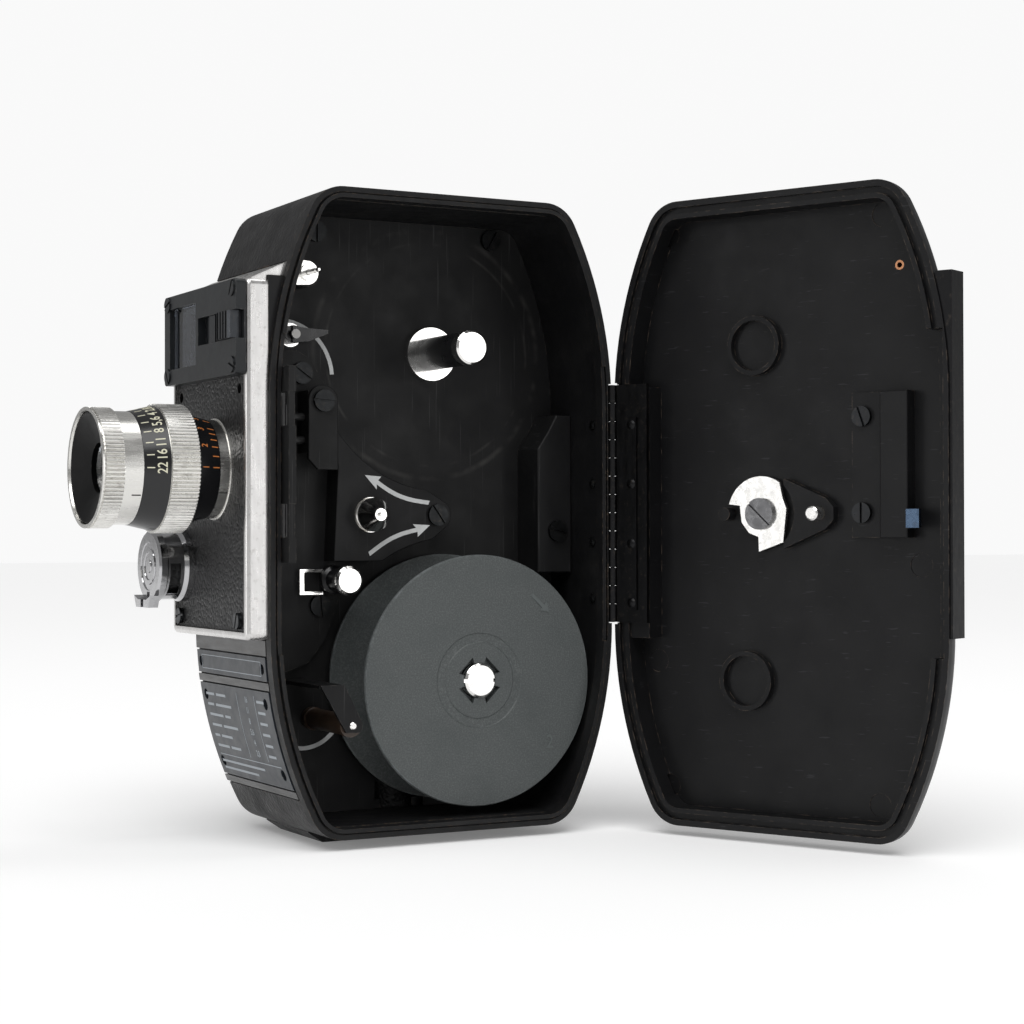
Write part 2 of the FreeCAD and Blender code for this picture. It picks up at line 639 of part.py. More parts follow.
def focus_ring():
    """Focus barrel: black stop-scale band, big knurl, black distance cone."""
    knurled_ring("focus_ring", [("focus_front", "ring_bore"), ("focus_back", "ring_bore"),
                                ("focus_back", "9.3"), ("-83.2", "10.5"), ("-83.2", "11.4"),
                                ("-88.2", "11.4"), ("-88.4", "11.6"), ("focus_front", "10.5")],
                 "knurl_front", "knurl_back", "knurl_radius", 104, "ring_bore")


def aperture_ring():
    """Silver stop ring: smooth index band and the front knurl."""
    knurled_ring("aperture_ring", [("aperture_front", "10.4"), ("-97.2", "9.4"), ("-97.2", "ring_bore"),
                                   ("aperture_back", "ring_bore"), ("aperture_back", "10.45"),
                                   ("-96.8", "10.45"), ("-100.9", "10.8"),
                                   ("aperture_front", "front_radius")],
                 "-100.4", "-96.9", "front_radius", 92, "10.5")


def lens_inner_rings():
    """Dark front cone that holds the front element, and the stop between the lens groups."""
    cone = turned("name_cone", "x", [("-100.6", "10.15"), ("-97.5", "9.3"), ("-97.26", "9.3"),
                                     ("-97.26", "5.0"), ("-98.4", "4.6"), ("-100.6", "9.9")])
    stop = turned("stop_plate", "x", [("-86.2", "1.4"), ("-85.8", "1.4"), ("-85.8", "5.55"),
                                      ("-86.2", "5.55")])
    return settle(group("inner_rings", [cone, stop]), "lens_inner_rings", y="lens_y", z="lens_z")


def glass_elements():
    """Front and rear lens elements, finder window and eye lens."""
    members = []
    for name, profile in (("front_lens", [("-97.0", "0"), ("-94.6", "0"), ("-94.6", "5.5"),
                                          ("-96.2", "5.5"), ("-96.2", "4.6"), ("-96.52", "3.5"),
                                          ("-96.79", "2.3"), ("-96.95", "1.1")]),
                          ("rear_lens", [("-75.0", "0"), ("-72.6", "0"), ("-72.9", "5.5"),
                                         ("-75.0", "5.5")])):
        element = turned(name, "x", profile)
        element.setExpression("Placement.Base.y", bound("lens_y"))
        element.setExpression("Placement.Base.z", bound("lens_z"))
        members.append(element)
    window = new_body("finder_window")
    add_x(window, "-77.4", "-76.3", rect("window_near + 0.05", "window_far - 0.05",
                                         "window_low + 0.05", "window_high - 0.05"))
    eye = turned("eye_lens", "x", [("-2.4", "0"), ("0.4", "0"), ("0.1", "3.35"), ("-1.8", "3.35")])
    eye.setExpression("Placement.Base.y", bound("eye_y"))
    eye.setExpression("Placement.Base.z", bound("eye_z"))
    return settle(group("glasses", members + [window, eye]), "glass_elements")


# ---- release -------------------------------------------------------------------

def release_collar():
    """Chromed drum with a side window; turns to set the running mode."""
    body = turned("release_collar", "x", [("-81.0", "5.3"), ("plate_front - 0.03", "5.3"),
                                          ("plate_front - 0.03", "6.9"), ("-77.0", "6.9"),
                                          ("-77.8", "6.5"), ("-81.0", "6.5")])
    cut_y(body, "-8", "0", rect("-80.6", "-78.5", "-5.6", "0.6"))
    return settle(body, "release_collar", y="release_y", z="release_z")


def release_button():
    """Dished button with rings, a skirt, a stem and two finger lips at the bottom."""
    body = turned("release_button", "x", [
        ("-82.9", "0"), ("-82.9", "1.2"), ("-82.7", "1.3"), ("-82.7", "2.6"), ("-82.9", "2.7"),
        ("-82.9", "3.5"), ("-82.7", "3.6"), ("-82.7", "4.6"), ("-82.9", "4.7"), ("-82.9", "6.5"),
        ("-82.5", "release_radius"), ("-81.3", "release_radius"), ("-81.3", "6.62"),
        ("-82.1", "6.62"), ("-82.1", "1.5"), ("-75", "1.5"), ("-75", "0")])
    add_x(body, "-84.2", "-82.2", shape_of([("-4.8", "-5.6"), ("-3.6", "-7.9"), ("3.6", "-7.9"),
                                            ("4.8", "-5.6"), ("2.4", "-6.4"), ("-2.4", "-6.4")]))
    cut_x(body, "-85", "-82.2", rect("-0.8", "0.8", "-9", "-4.9"))
    return settle(body, "release_button", y="release_y", z="release_z")


# ---- film chamber --------------------------------------------------------------

def guide_arc_x(x, centre, sign):
    """Height of the spool guide circle at a given x."""
    return "%s_z %s sqrt(guide_radius^2 - (%s - %s_x)^2)" % (centre, sign, x, centre)


def guide_arc_z(z, centre):
    """Forward x of the spool guide circle at a given height."""
    return "%s_x - sqrt(guide_radius^2 - (%s - %s_z)^2)" % (centre, z, centre)


NOSE_TOP = [(guide_arc_z("77.1", "supply"), "77.1", "guide_radius", 1),
            ("-31.8", guide_arc_x("-31.8", "supply", "-")),
            ("-27.6", "62.6", "3.12", -1), ("-27.6", "57.8")]


def mechanism_plate():
    """Chamber floor plate with the counter column and the shutter bearing cast on."""
    body = new_body("mechanism_plate")
    front, back = "plate_y + chamber_y", PLATE_BACK
    feeler = ("counter_x + chamber_x", "counter_z")
    add_y(body, front, back + " - 0.02", case_band("side_wall + 0.06", "end_wall + 0.06"))
    add_x(body, "-65.4", "-61.5", rect(back + " - 0.5", "31", "64.5", "73"))
    add_y(body, "11.52 + chamber_y", front + " + 0.1", disc(*feeler, "2.6"))
    cut_y(body, front + " - 1", back + " + 1", rect("-74", "-65.6", "55.5", "82"))
    cut_y(body, front + " - 1", back + " + 1", rect("socket_x - 5.3", "socket_x + 5.3", "0", "7.8"))
    cut_x(body, "-66", "-61", disc("shutter_y", "lens_z", "1.66"))
    cut_y(body, "9", "17.8", disc(*feeler, "0.57"))
    cut_y(body, front + " - 1", back + " + 1", discs(
        [("-52.9 + chamber_x", "115.5", "0.95"), ("-14.6 + chamber_x", "116", "0.95"),
         ("supply_x + chamber_x", "supply_z", "2.05"),
         ("takeup_x + chamber_x", "takeup_z", "2.05")]))
    return settle(body, "mechanism_plate")


def channel_plate():
    """Lower film channel casting, level with the gate."""
    body = new_body("channel_plate")
    add_y(body, "channel_y", "plate_y - 0.02", shape_of(
        [("-69", "91.5"), ("-69", "30"), ("-59.5", "30"), ("-55", "31.6"), ("-51.4", "36"),
         ("-47.9", guide_arc_x("-47.9", "takeup", "+"), "guide_radius", -1),
         ("-30.7", guide_arc_x("-30.7", "takeup", "+")), ("-27.6", "57.8", "3.12", 1),
         ("-27.6", "62.6"), ("-31.8", guide_arc_x("-31.8", "supply", "-"), "guide_radius", -1),
         ("-46.5", guide_arc_x("-46.5", "supply", "-")), ("-49.2", "77.3"),
         ("-51.3", "85.5"), ("-54.7", "90.6"), ("-57.2", "91.9")]))
    cut_y(body, "22", "25", rect("-70", "-61.8", "51.5", "86.5"))
    cut_y(body, "22", "25", discs([("-56.3", "87.6", "0.95"), ("-52.6", "42.6", "0.95")]))
    return settle_in_chamber(body, "channel_plate")


def guide_horn():
    """Raised guide between the spools, hollowed for both film coils."""
    body = new_body("guide_horn")
    add_y(body, "horn_y", "channel_y - 0.02", shape_of(
        NOSE_TOP + [("-30.7", guide_arc_x("-30.7", "takeup", "+"), "guide_radius", 1),
                    (guide_arc_z("takeup_z + 23.1", "takeup"), "51.2"), ("-51.7", "51.2"),
                    ("-50.8", "69")]))
    round_edges(body, "0.2", flat_at("Y", "horn_y"))
    cut_y(body, "horn_y - 1", "horn_y + 1.6", disc("-29.6", "60.2", "0.95"))
    cut_y(body, "horn_y - 1", "horn_y + 2", disc("cone_x", "cone_z", "1.25"))
    return settle_in_chamber(body, "guide_horn")


def gate_bridge():
    """Rounded cover over the gate and the block that guides the pressure rods."""
    body = new_body("gate_bridge")
    add_y(body, "18.15", "channel_y - 0.02", rect("-57.1", "-51.4", "72", "84"))
    add_y(body, "17.3", "18.2", shape_of(
        [("-57.3", "82"), ("-57.3", "70.8"), ("-55.3", "68.8"), ("-51.2", "68.8"),
         ("-51.2", "82", "3.05", 1)]))
    round_edges(body, "0.2", flat_at("Y", "17.3"))
    cut_y(body, "17", "19.4", disc("-54.25", "82", "0.95"))
    cut_x(body, "-58", "-51", discs([("20.6", "74.5", "0.86"), ("20.6", "79", "0.86")]))
    return settle_in_chamber(body, "gate_bridge")


def gate_block():
    """Hollow shutter housing and polished gate plate with the picture opening."""
    body = new_body("gate_block")
    add_x(body, "-69.7", "-64.4", rect("13.8", "22.1", "56", "81.6"))
    cut_x(body, "-70", "-65.3", rect("14.6", "24", "56.8", "80.8"))
    add_x(body, "-64.45", "-63.65", rect("14", "22.1", "52", "86"))
    cut_x(body, "-66", "-63", rect("16.1", "20.7", "67.05", "70.35"))
    cut_x(body, "-66", "-63", rect("21.0", "23", "57.8", "66.4"))
    return settle(body, "gate_block")


def pressure_plate():
    """Sprung plate behind the film with its two guide rods."""
    body = new_body("pressure_plate")
    add_x(body, "-63.3", "-62.3", rect("14.4", "20.8", "56", "81"))
    add_x(body, "-62.4", "-56.3", discs([("18.3", "74.5", "0.8"), ("18.3", "79", "0.8")]))
    return settle(body, "pressure_plate")


def gate_lever():
    """Pointed lever that draws the pressure plate back."""
    body = new_body("gate_lever")
    add_y(body, "21.5", "23.2", disc("0", "0", "1.75"))
    add_y(body, "21.0", "22.6", shape_of([("-0.4", "1.6"), ("-0.4", "-1.6"), ("2.9", "-1.3"),
                                          ("6.9", "0.35"), ("6.9", "1.05"), ("2.5", "1.25")]))
    add_y(body, "20.3", "21.1", disc("0", "0", "0.9"))
    add_y(body, "23.1", "plate_y - 0.04", disc("0", "0", "0.9"))
    return settle_in_chamber(body, "gate_lever", x="lever_x", z="lever_z")


def spool_spindle(name, centre, tip, slot):
    """Drive spindle: base disc, long core, bright end and a tail into the drive."""
    body = turned(name, "y", [
        ("0", tip), ("spindle_radius - 0.4", tip), ("spindle_radius", tip + " + 0.4"),
        ("spindle_radius", tip + " + 2.6"), ("2.2", tip + " + 2.6"), ("2.2", "22.7"),
        ("5.3", "22.7"), ("5.3", "plate_y - 0.1"), ("2.0", "plate_y - 0.1"), ("2.0", "26.3"),
        ("0", "26.3")])
    if slot:
        cut_y(body, tip + " - 1", tip + " + 1.1", rect("-4", "4", "-0.35", "0.35"))
    return settle_in_chamber(body, name, x=centre + "_x", z=centre + "_z")


def supply_spindle():
    return spool_spindle("supply_spindle", "supply", "spindle_tip", False)


def supply_sleeve():
    """Dark sleeve on the supply spindle."""
    sleeve = turned("supply_sleeve", "y", [
        ("2.22", "spindle_tip + 2.62"), ("spindle_radius - 0.05", "spindle_tip + 2.62"),
        ("spindle_radius - 0.05", "22.68"), ("2.22", "22.68")])
    return settle_in_chamber(sleeve, "supply_sleeve", x="supply_x", z="supply_z")


def takeup_spindle():
    return spool_spindle("takeup_spindle", "takeup", "5.1", True)


def takeup_spool():
    """Grey film spool: two flanges, hollow core, hub ring and a keyed centre hole."""
    body = turned("takeup_spool", "y", [
        ("3.4", "spool_near"), ("7.2", "spool_near"), ("7.4", "spool_near + 0.2"),
        ("9", "spool_near + 0.2"), ("9.2", "spool_near"), ("spool_radius - 0.2", "spool_near"),
        ("spool_radius", "spool_near + 0.25"), ("spool_radius", "spool_near + flange"),
        ("core_radius", "spool_near + flange"), ("core_radius", "spool_far - 0.5"),
        ("spool_radius", "spool_far - 0.5"), ("spool_radius", "spool_far"),
        ("3.4", "spool_far")])
    for angle in (45, 135, 225, 315):
        cut_y(body, "spool_near - 1", "spool_near + 1.4", notch(angle, 3.2, 4.7, 27))
    return settle_in_chamber(body, "takeup_spool", x="takeup_x", z="takeup_z")


def notch(angle, inner, outer, half):
    """Four-sided key slot at an angle about the spool centre."""
    corners = []
    for reach, side in ((inner, -1), (outer, -1), (outer, 1), (inner, 1)):
        turn = math.radians(angle + side * half)
        corners.append(("%.4f" % (reach * math.cos(turn)), "%.4f" % (reach * math.sin(turn))))
    return shape_of(corners)


def film_roller():
    body = turned("film_roller", "y", [("0.75", "5.35"), ("2.2", "5.35"), ("2.2", "7.0"),
                                       ("2.0", "7.2"), ("2.0", "22.4"), ("2.2", "22.6"),
                                       ("2.2", "24.2"), ("0.75", "24.2")])
    return settle_in_chamber(body, "film_roller", x="roller_x", z="roller_z")


def loop_roller():
    body = turned("loop_roller", "y", [("0.85", "14.8"), ("2.8", "14.8"), ("2.8", "16.0"),
                                       ("2.2", "16.4"), ("2.2", "20.2"), ("2.8", "20.6"),
                                       ("2.8", "21.8"), ("0.85", "21.8")])
    return settle_in_chamber(body, "loop_roller", x="post_x", z="post_z")


def roller_bracket():
    """Folded bracket that carries the lower film roller."""
    body = new_body("roller_bracket")
    add_y(body, "4.4", "5.2", shape_of([("-60.4", "28.5"), ("-55.2", "19.5"),
                                        ("-52.5", "19.5", "1.9", 1), ("-52.3", "21.9"),
                                        ("-55.6", "28.5")]))
    add_y(body, "5.1", "plate_y - 0.02", rect("-60.4", "-55.6", "27.8", "28.5"))
    cut_y(body, "4", "6", disc("roller_x", "roller_z", "0.71"))
    return settle_in_chamber(body, "roller_bracket")


def placed_turned(name, axis, profile, **spot):
    """Turned member of a group, moved to its own axis."""
    body = turned(name, axis, profile)
    for letter, text in spot.items():
        body.setExpression("Placement.Base." + letter, bound(text))
    return body


def nickel_fittings():
    """Bright fixed parts: cone, claw frame, counter seat, lever ring and roller pins."""
    lower = placed_turned("lower_pin", "y", [
        ("0", "4.1"), ("0.55", "4.1"), ("0.7", "4.25"), ("0.7", "plate_y - 0.02"),
        ("0", "plate_y - 0.02")], x="roller_x", z="roller_z")
    loop = placed_turned("loop_pin", "y", [
        ("0", "13.6"), ("2.3", "13.6"), ("2.75", "14.0"), ("2.75", "14.7"), ("0.8", "14.7"),
        ("0.8", "channel_y - 0.02"), ("0", "channel_y - 0.02")], x="post_x", z="post_z")
    cone = turned("cone", "y", [("0", "11.7"), ("0.45", "11.7"), ("0.45", "12.5"), ("1.2", "12.5"),
                                ("3.3", "15.6"), ("3.3", "16.2"), ("3.0", "16.2"), ("3.0", "17.2"),
                                ("3.4", "17.2"), ("3.4", "horn_y - 0.01"), ("1.2", "horn_y - 0.01"),
                                ("1.2", "horn_y + 1.9"), ("0", "horn_y + 1.9")])
    cone.setExpression("Placement.Base.x", bound("cone_x"))
    cone.setExpression("Placement.Base.z", bound("cone_z"))
    frame = new_body("claw_frame")
    add_y(frame, "22.0", "channel_y - 0.02", shape_of(
        [("-57.2", "44.8"), ("-52.4", "44.8"), ("-52.4", "45.4"), ("-56.3", "45.4"),
         ("-56.3", "49.1"), ("-52.4", "49.1"), ("-52.4", "49.7"), ("-57.2", "49.7")]))
    seat = new_body("counter_seat")
    add_y(seat, "11.0", "11.5", shape_of(
        [("counter_x - 2.7", "counter_z + 2.4"), ("counter_x - 2.7", "counter_z - 2.4"),
         ("counter_x + 0.4", "counter_z - 2.2", "2.24", 1), ("counter_x + 0.4", "counter_z + 2.2")]))
    add_y(seat, "10.3", "11.1", disc("counter_x", "counter_z", "1.5"))
    cut_y(seat, "10", "12", disc("counter_x", "counter_z", "0.57"))
    ring = new_body("lever_ring")
    add_y(ring, "23.3", "plate_y - 0.02", ring_of(disc("lever_x", "lever_z", "2.3"),
                                                  disc("lever_x", "lever_z", "1.2")))
    members = [cone, frame, seat, ring, lower, loop]
    return settle_in_chamber(group("bright", members), "nickel_fittings")


def counter_pin():
    body = turned("counter_pin", "y", [("0", "5.3"), ("0.25", "5.3"), ("0.5", "5.6"),
                                       ("0.5", "17.4"), ("0", "17.4")])
    cut_y(body, "5.8", "6.6", ring_of(disc("0", "0", "2"), disc("0", "0", "0.36")))
    return settle_in_chamber(body, "counter_pin", x="counter_x", z="counter_z")


def hinge_block():
    """Upright block against the back wall of the chamber."""
    body = new_body("hinge_block")
    add_y(body, "13.6", "plate_y + chamber_y - 0.02", shape_of(
        [("-9.35", "48.6"), ("-1.55", "48.6"), ("-1.55", "80.4"), ("-5.05", "80.4"),
         ("-7.05", "76.9"), ("-9.35", "73.5")]))
    round_edges(body, "0.4", flat_at("Y", "13.6"))
    cut_y(body, "12", "16", disc("-4.95", "57", "0.95"))
    return settle(body, "hinge_block")


def keeper_strip():
    """Keeper on the front wall: three blocks joined by the bars the bolt hooks."""
    body = new_body("keeper_strip")
    add_y(body, "3", "8", rect("case_front + side_wall + 0.02", "-68.6", "50.5", "side_high"))
    for low, high in (("51.3", "55.9"), ("62", "76.2"), ("82.4", "87")):
        add_y(body, "-3", "3.1", rect("-69.8", "-68.4", low, high))
    add_y(body, "-2.9", "-2.1", rect("-69.8", "-68.6", "51.4", "86.9"))
    return settle(body, "keeper_strip")


def plain_screw(name, x, face, z, angle):
    return slotted_screw(name, "y", (x, "0", z), face, 0.88, "0.9", angle)


def chassis_fixings():
    """Slotted screws of the chamber plates and the rivets of the hinge leaf."""
    spots = [("-52.9", "plate_y", "115.5", 90), ("-14.6", "plate_y", "116", 120),
             ("-56.3", "channel_y", "87.6", 35), ("-52.6", "channel_y", "42.6", 85),
             ("-29.6", "horn_y", "60.2", 55), ("-54.25", "17.3", "82", 5),
             ("-4.95 - chamber_x", "13.6 - chamber_y", "57", 15)]
    members = []
    for number, (x, face, z, angle) in enumerate(spots):
        members.append(plain_screw("chassis_screw%d" % number, x, face + " - 0.01", z, angle))
    for number, z in enumerate(RIVETS):
        members.append(placed_turned("wall_rivet%d" % number, "x", [
            ("-2.0", "0"), ("-2.0", "0.5"), ("-1.7", "1.0"), ("-1.52", "1.0"), ("-1.52", "0.58"),
            ("-0.3", "0.58"), ("-0.3", "0")], x="-chamber_x", y=RIVET_Y + " - chamber_y", z=z))
    return settle_in_chamber(group("chassis", members), "chassis_fixings")


def arrow(x0, z0, x1, z1, bow):
    """Slightly bowed arrow between two points, as a flat face in the xz plane."""
    start, end = FreeCAD.Vector(x0, 0, z0), FreeCAD.Vector(x1, 0, z1)
    along = (end - start).normalize()
    side = FreeCAD.Vector(-along.z, 0, along.x)
    reach = (end - start).Length
    left, right = [], []
    for i in range(9):
        t = i / 8.0
        spot = start + along * (t * (reach - 3.0)) + side * (bow * math.sin(math.pi * t * 0.9))
        left.append(spot + side * 0.42)
        right.append(spot - side * 0.42)
    neck = (left[-1] + right[-1]) * 0.5
    head = [neck + side * 1.35 - along * 0.35, end, neck - side * 1.35 - along * 0.35]
    points = left + head + right[::-1]
    return Part.Face(Part.makePolygon(points + points[:1]))


def sweep_mark(cx, cz, radius, start, stop):
    """Painted arc of constant width."""
    points = []
    steps = 16
    for reach, order in ((radius + 0.4, range(steps + 1)), (radius - 0.4, range(steps, -1, -1))):
        for i in order:
            turn = math.radians(start + (stop - start) * i / steps)
            points.append(FreeCAD.Vector(cx + reach * math.cos(turn), 0, cz + reach * math.sin(turn)))
    return Part.Face(Part.makePolygon(points + points[:1]))


def film_path_marks():
    """White painted arrows and arcs that show the film path."""
    film = 0.05
    on_horn = [arrow(-31.4, 62.6, -45.2, 67.9, 1.1), arrow(-44.3, 52.6, -31.2, 58.2, 0.9)]
    on_plate = [sweep_mark(-60.3, 86.9, 10.9, 4, 92), sweep_mark(-55.6, 23.2, 8.2, 236, 322)]
    solids = []
    for faces, level in ((on_horn, size("horn_y")), (on_plate, size("plate_y"))):
        for face in faces:
            mark = face.extrude(FreeCAD.Vector(0, film, 0))
            mark.translate(FreeCAD.Vector(0, level - film - 0.005, 0))
            solids.append(mark)
    return settle_in_chamber(coded("film_path_marks", Part.makeCompound(solids)), "film_path_marks")


# ---- drive ---------------------------------------------------------------------

def shutter():
    """Half-open disc shutter on its shaft."""
    body = new_body("shutter")
    add_x(body, "-67.5", "-67.0", disc("0", "0", "shutter_radius"))
    cut_x(body, "-68", "-66", shape_of([("-2", "2"), ("-12", "2"), ("-12", "12"), ("-2", "12")]))
    add_x(body, "-67.9", "-60", disc("0", "0", "1.6"))
    return settle(body, "shutter", y="shutter_y", z="lens_z")


def spring_barrel():
    body = turned("spring_barrel", "y", [("0", "26.7"), ("barrel_radius", "26.7"),
                                         ("barrel_radius", "36.5"), ("2.5", "36.5"),
                                         ("2.5", "43.0"), ("0", "43.0")])
    return settle(body, "spring_barrel", x="barrel_x", z="barrel_z")


def governor():
    body = turned("governor", "y", [("0", "26.6"), ("1.2", "26.6"), ("1.2", "29"), ("5.5", "29"),
                                    ("5.5", "33"), ("1.2", "33"), ("1.2", "38"), ("0", "38")])
    return settle(body, "governor", x="governor_x", z="governor_z")


def pulldown_claw():
    """Claw that steps the film on through the gate slot."""
    body = new_body("pulldown_claw")
    add_y(body, "21.2", "21.9", shape_of([("-63.2", "61"), ("-63.2", "61.6"), ("-65.2", "62.2"),
                                          ("-65.2", "63.6"), ("-66.1", "63.6"), ("-66.1", "61")]))
    add_y(body, "21.2", "30", rect("-66.6", "-66.05", "61", "63.6"))
    return settle(body, "pulldown_claw")


def key_hub():
    """Winding hub on the far side."""
    body = new_body("key_hub")
    add_y(body, "case_depth + 0.1", "45.8", disc("0", "0", "6"))
    round_edges(body, "0.5", flat_at("Y", "45.8"))
    cut_y(body, "43.45", "46", rect("-7", "7", "-1.3", "1.3"))
    cut_y(body, "41", "43.1", disc("0", "0", "2.56"))
    cut_z(body, "-8", "8", disc("-4", "44.7", "0.66"))
    return settle(body, "key_hub", x="barrel_x", z="barrel_z")


def key_wing():
    """Folding wing of the winding key."""
    body = new_body("key_wing")
    add_z(body, "-1.1", "1.1", shape_of([("-0.9", "-0.9"), ("16", "-0.9"), ("17.4", "0.4"),
                                         ("16", "0.9"), ("-0.9", "0.9")]))
    add_z(body, "-4.6", "4.6", rect("10.6", "17", "-0.6", "0.6"))
    add_z(body, "-5.2", "5.2", disc("0", "0", "0.6"))
    return settle(body, "key_wing", x="barrel_x - 4", y="44.7", z="barrel_z")


def speed_dial():
    body = turned("speed_dial", "y", [("0", "38.3"), ("1.5", "38.3"), ("1.5", "case_depth + 0.1"),
                                      ("6", "case_depth + 0.1"), ("6", "44.2"), ("5.6", "44.6"),
                                      ("0", "44.6")])
    return settle(body, "speed_dial", x="dial_x", z="dial_z")


# ---- hinge ---------------------------------------------------------------------

def leaf(name, first, bands, rivet_holes):
    """Hinge leaf with every second knuckle, cleared round the knuckles between."""
    body = new_body(name)
    low, high = "hinge_low", "hinge_low + 13 * knuckle_pitch"
    add_z(body, low, high, shape_of(bands))
    for i in range(13):
        start = "hinge_low + %d * knuckle_pitch" % i
        end = "hinge_low + %d * knuckle_pitch" % (i + 1)
        if i % 2 == first:
            add_z(body, start + " + 0.05", end + " - 0.05", disc("0", "0", "knuckle_radius"))
        else:
            cut_z(body, start + " - 0.05", end + " + 0.05", disc("0", "0", "knuckle_clear"))
    cut_z(body, low + " - 1", high + " + 1", disc("0", "0", "pin_radius + 0.03"))
    rivet_holes(body)
    return body


def body_hinge_leaf():
    def holes(body):
        cut_x(body, "-1", "1", discs([(RIVET_Y, z, "0.62") for z in RIVETS]))
    body = leaf("body_hinge_leaf", 0,
                [("-0.8", "0.3"), ("-0.45", "0"), ("-0.22", "0"), ("-0.22", "9"), ("-0.8", "9")],
                holes)
    return settle(body, "body_hinge_leaf")


def hinge_pin():
    body = turned("pin_turned", "y", [("0", "hinge_low"), ("pin_radius", "hinge_low"),
                                     ("pin_radius", "hinge_low + 13 * knuckle_pitch"),
                                     ("0", "hinge_low + 13 * knuckle_pitch")])
    turned_up = doc.addObject("Part::Compound", "pin_upright")
    turned_up.Links = [body]
    body.Placement.Rotation = FreeCAD.Rotation(FreeCAD.Vector(1, 0, 0), 90)
    return settle(turned_up, "hinge_pin")


# ---- door, drawn closed --------------------------------------------------------

def d(depth):
    """Level on the door, measured outwards from its rim plane."""
    return "-door_gap - (%s)" % depth


DOOR_RIVETS = ("42.9", "54.5", "66.2", "77.8")
DOOR_SCREWS = (("-52.9", "78"), ("-52.9", "60.2"))


def door_shell():
    """Door casting: outer wall with rim groove, flat floor and raised seats."""
    body = new_body("door_shell")
    add_y(body, d("door_thick"), d("0"), case_band("0"))
    round_edges(body, "door_round", flat_at("Y", d("door_thick")))
    cut_y(body, d("floor_depth"), "1", case_band("3.4"))
    cut_y(body, d("0.8"), "1", ring_of(case_band("lip_width + 0.2"), case_band("2.45")))
    cut_y(body, d("3.6"), "1", rect("-71.1", "-66", "34", "93"))
    add_y(body, d("floor_depth + 0.1"), d("0.62"),
          rect("-8", "case_back - 3", "36", "85.2"))
    cut_y(body, d("0.62"), "1", rect("-8.05", "1", "hinge_low - 0.1",
                                     "hinge_low + 13 * knuckle_pitch + 0.1"))
    cut_y(body, d("13"), "1", rect("-0.85", "1", "hinge_low - 0.4",
                                   "hinge_low + 13 * knuckle_pitch + 0.4"))
    hubs = [("%s_x + chamber_x" % spool, "%s_z" % spool) for spool in ("supply", "takeup")]
    add_y(body, d("floor_depth + 0.1"), d("3.7"), discs([hub + ("5.7",) for hub in hubs]))
    cut_y(body, d("floor_depth"), "1", discs([hub + ("4.8",) for hub in hubs]))
    add_y(body, d("floor_depth + 0.1"), d("3.2"), shape_of(
        [("knob_x - 5.2", "knob_z + 6.6"), ("knob_x - 5.2", "knob_z - 6.6"),
         ("door_pin_x - 1.6", "knob_z - 2.9"), ("door_pin_x - 3.3", "knob_z - 1.2"),
         ("door_pin_x - 3.3", "knob_z + 1.2"), ("door_pin_x - 1.6", "knob_z + 2.9")]))
    cut_y(body, d("floor_depth"), "1", disc("knob_x", "knob_z", "cam_radius + 0.15"))
    add_y(body, d("floor_depth + 0.1"), d("2.6"), disc("knob_x + 7.6", "knob_z", "1.25"))
    cut_y(body, d("13"), "1", disc("knob_x", "knob_z", "2.56"))
    cut_y(body, d("13"), "1", discs([("counter_x", "counter_z", "0.9")]))
    cut_y(body, d("floor_depth + 0.12"), d("floor_depth - 1"), ring_of_marks())
    cut_y(body, d("floor_depth + 2"), "1", discs(
        [("door_pin_x", "knob_z", "1.36")] + [(x, z, "0.95") for x, z in DOOR_SCREWS]))
    return settle_on_door(body, "door_shell")


def ring_of_marks():
    """Shallow round ejector marks of the casting."""
    spots = (("-10.1", "115"), ("-56.8", "115"), ("-7.3", "31.4"), ("-64.4", "50.6"),
             ("-10", "7"), ("-55.9", "6.4"))
    return discs([(x, z, "2.2") for x, z in spots])


def door_covering():
    """Grained covering of the door's outer face."""
    body = new_body("door_covering")
    add_y(body, d("door_thick + 0.5"), d("door_thick + 0.02"), case_band("door_round + 0.1"))
    cut_y(body, d("13"), d("6"), disc("knob_x", "knob_z", "2.7"))
    return settle_on_door(body, "door_covering")


def door_knob():
    """Locking knob outside the door, on one shaft with the cam."""
    body = new_body("door_knob")
    add_y(body, d("12.5"), d("door_thick + 0.6"), disc("knob_x", "knob_z", "11"))
    round_edges(body, "0.6", flat_at("Y", d("12.5")))
    cut_y(body, d("13"), d("10"), rect("knob_x - 12", "knob_x + 12", "knob_z + 2.2", "knob_z + 12"))
    cut_y(body, d("13"), d("10"), rect("knob_x - 12", "knob_x + 12", "knob_z - 12", "knob_z - 2.2"))
    add_y(body, d("door_thick + 0.7"), d("4.4"), disc("knob_x", "knob_z", "2.5"))
    return settle_on_door(body, "door_knob")


def latch_cam():
    """Polished cam plate: cut away over one sector, notched for the stop stud."""
    body = new_body("latch_cam")
    add_y(body, d("4.35"), d("3.5"), shape_of(
        [("knob_x - 4.1", "knob_z + 5.9"), ("knob_x - 4.8", "knob_z + 2.9"),
         ("knob_x - 5.6", "knob_z + 1.0"), ("knob_x - 4.9", "knob_z - 5.2"),
         ("knob_x - 4.9", "knob_z - 5.4"), ("knob_x + 0.4", "knob_z - 7.2"),
         ("knob_x + 0.5", "knob_z - 4.4"), ("knob_x + 2.6", "knob_z - 3.6"),
         ("knob_x + 4.2", "knob_z - 1.6"), ("knob_x + 4.6", "knob_z + 1.6"),
         ("knob_x + 7.0", "knob_z + 1.9", "cam_radius", 1)]))
    cut_y(body, d("5"), d("3"), disc("knob_x", "knob_z", "0.95"))
    return settle_on_door(body, "latch_cam")


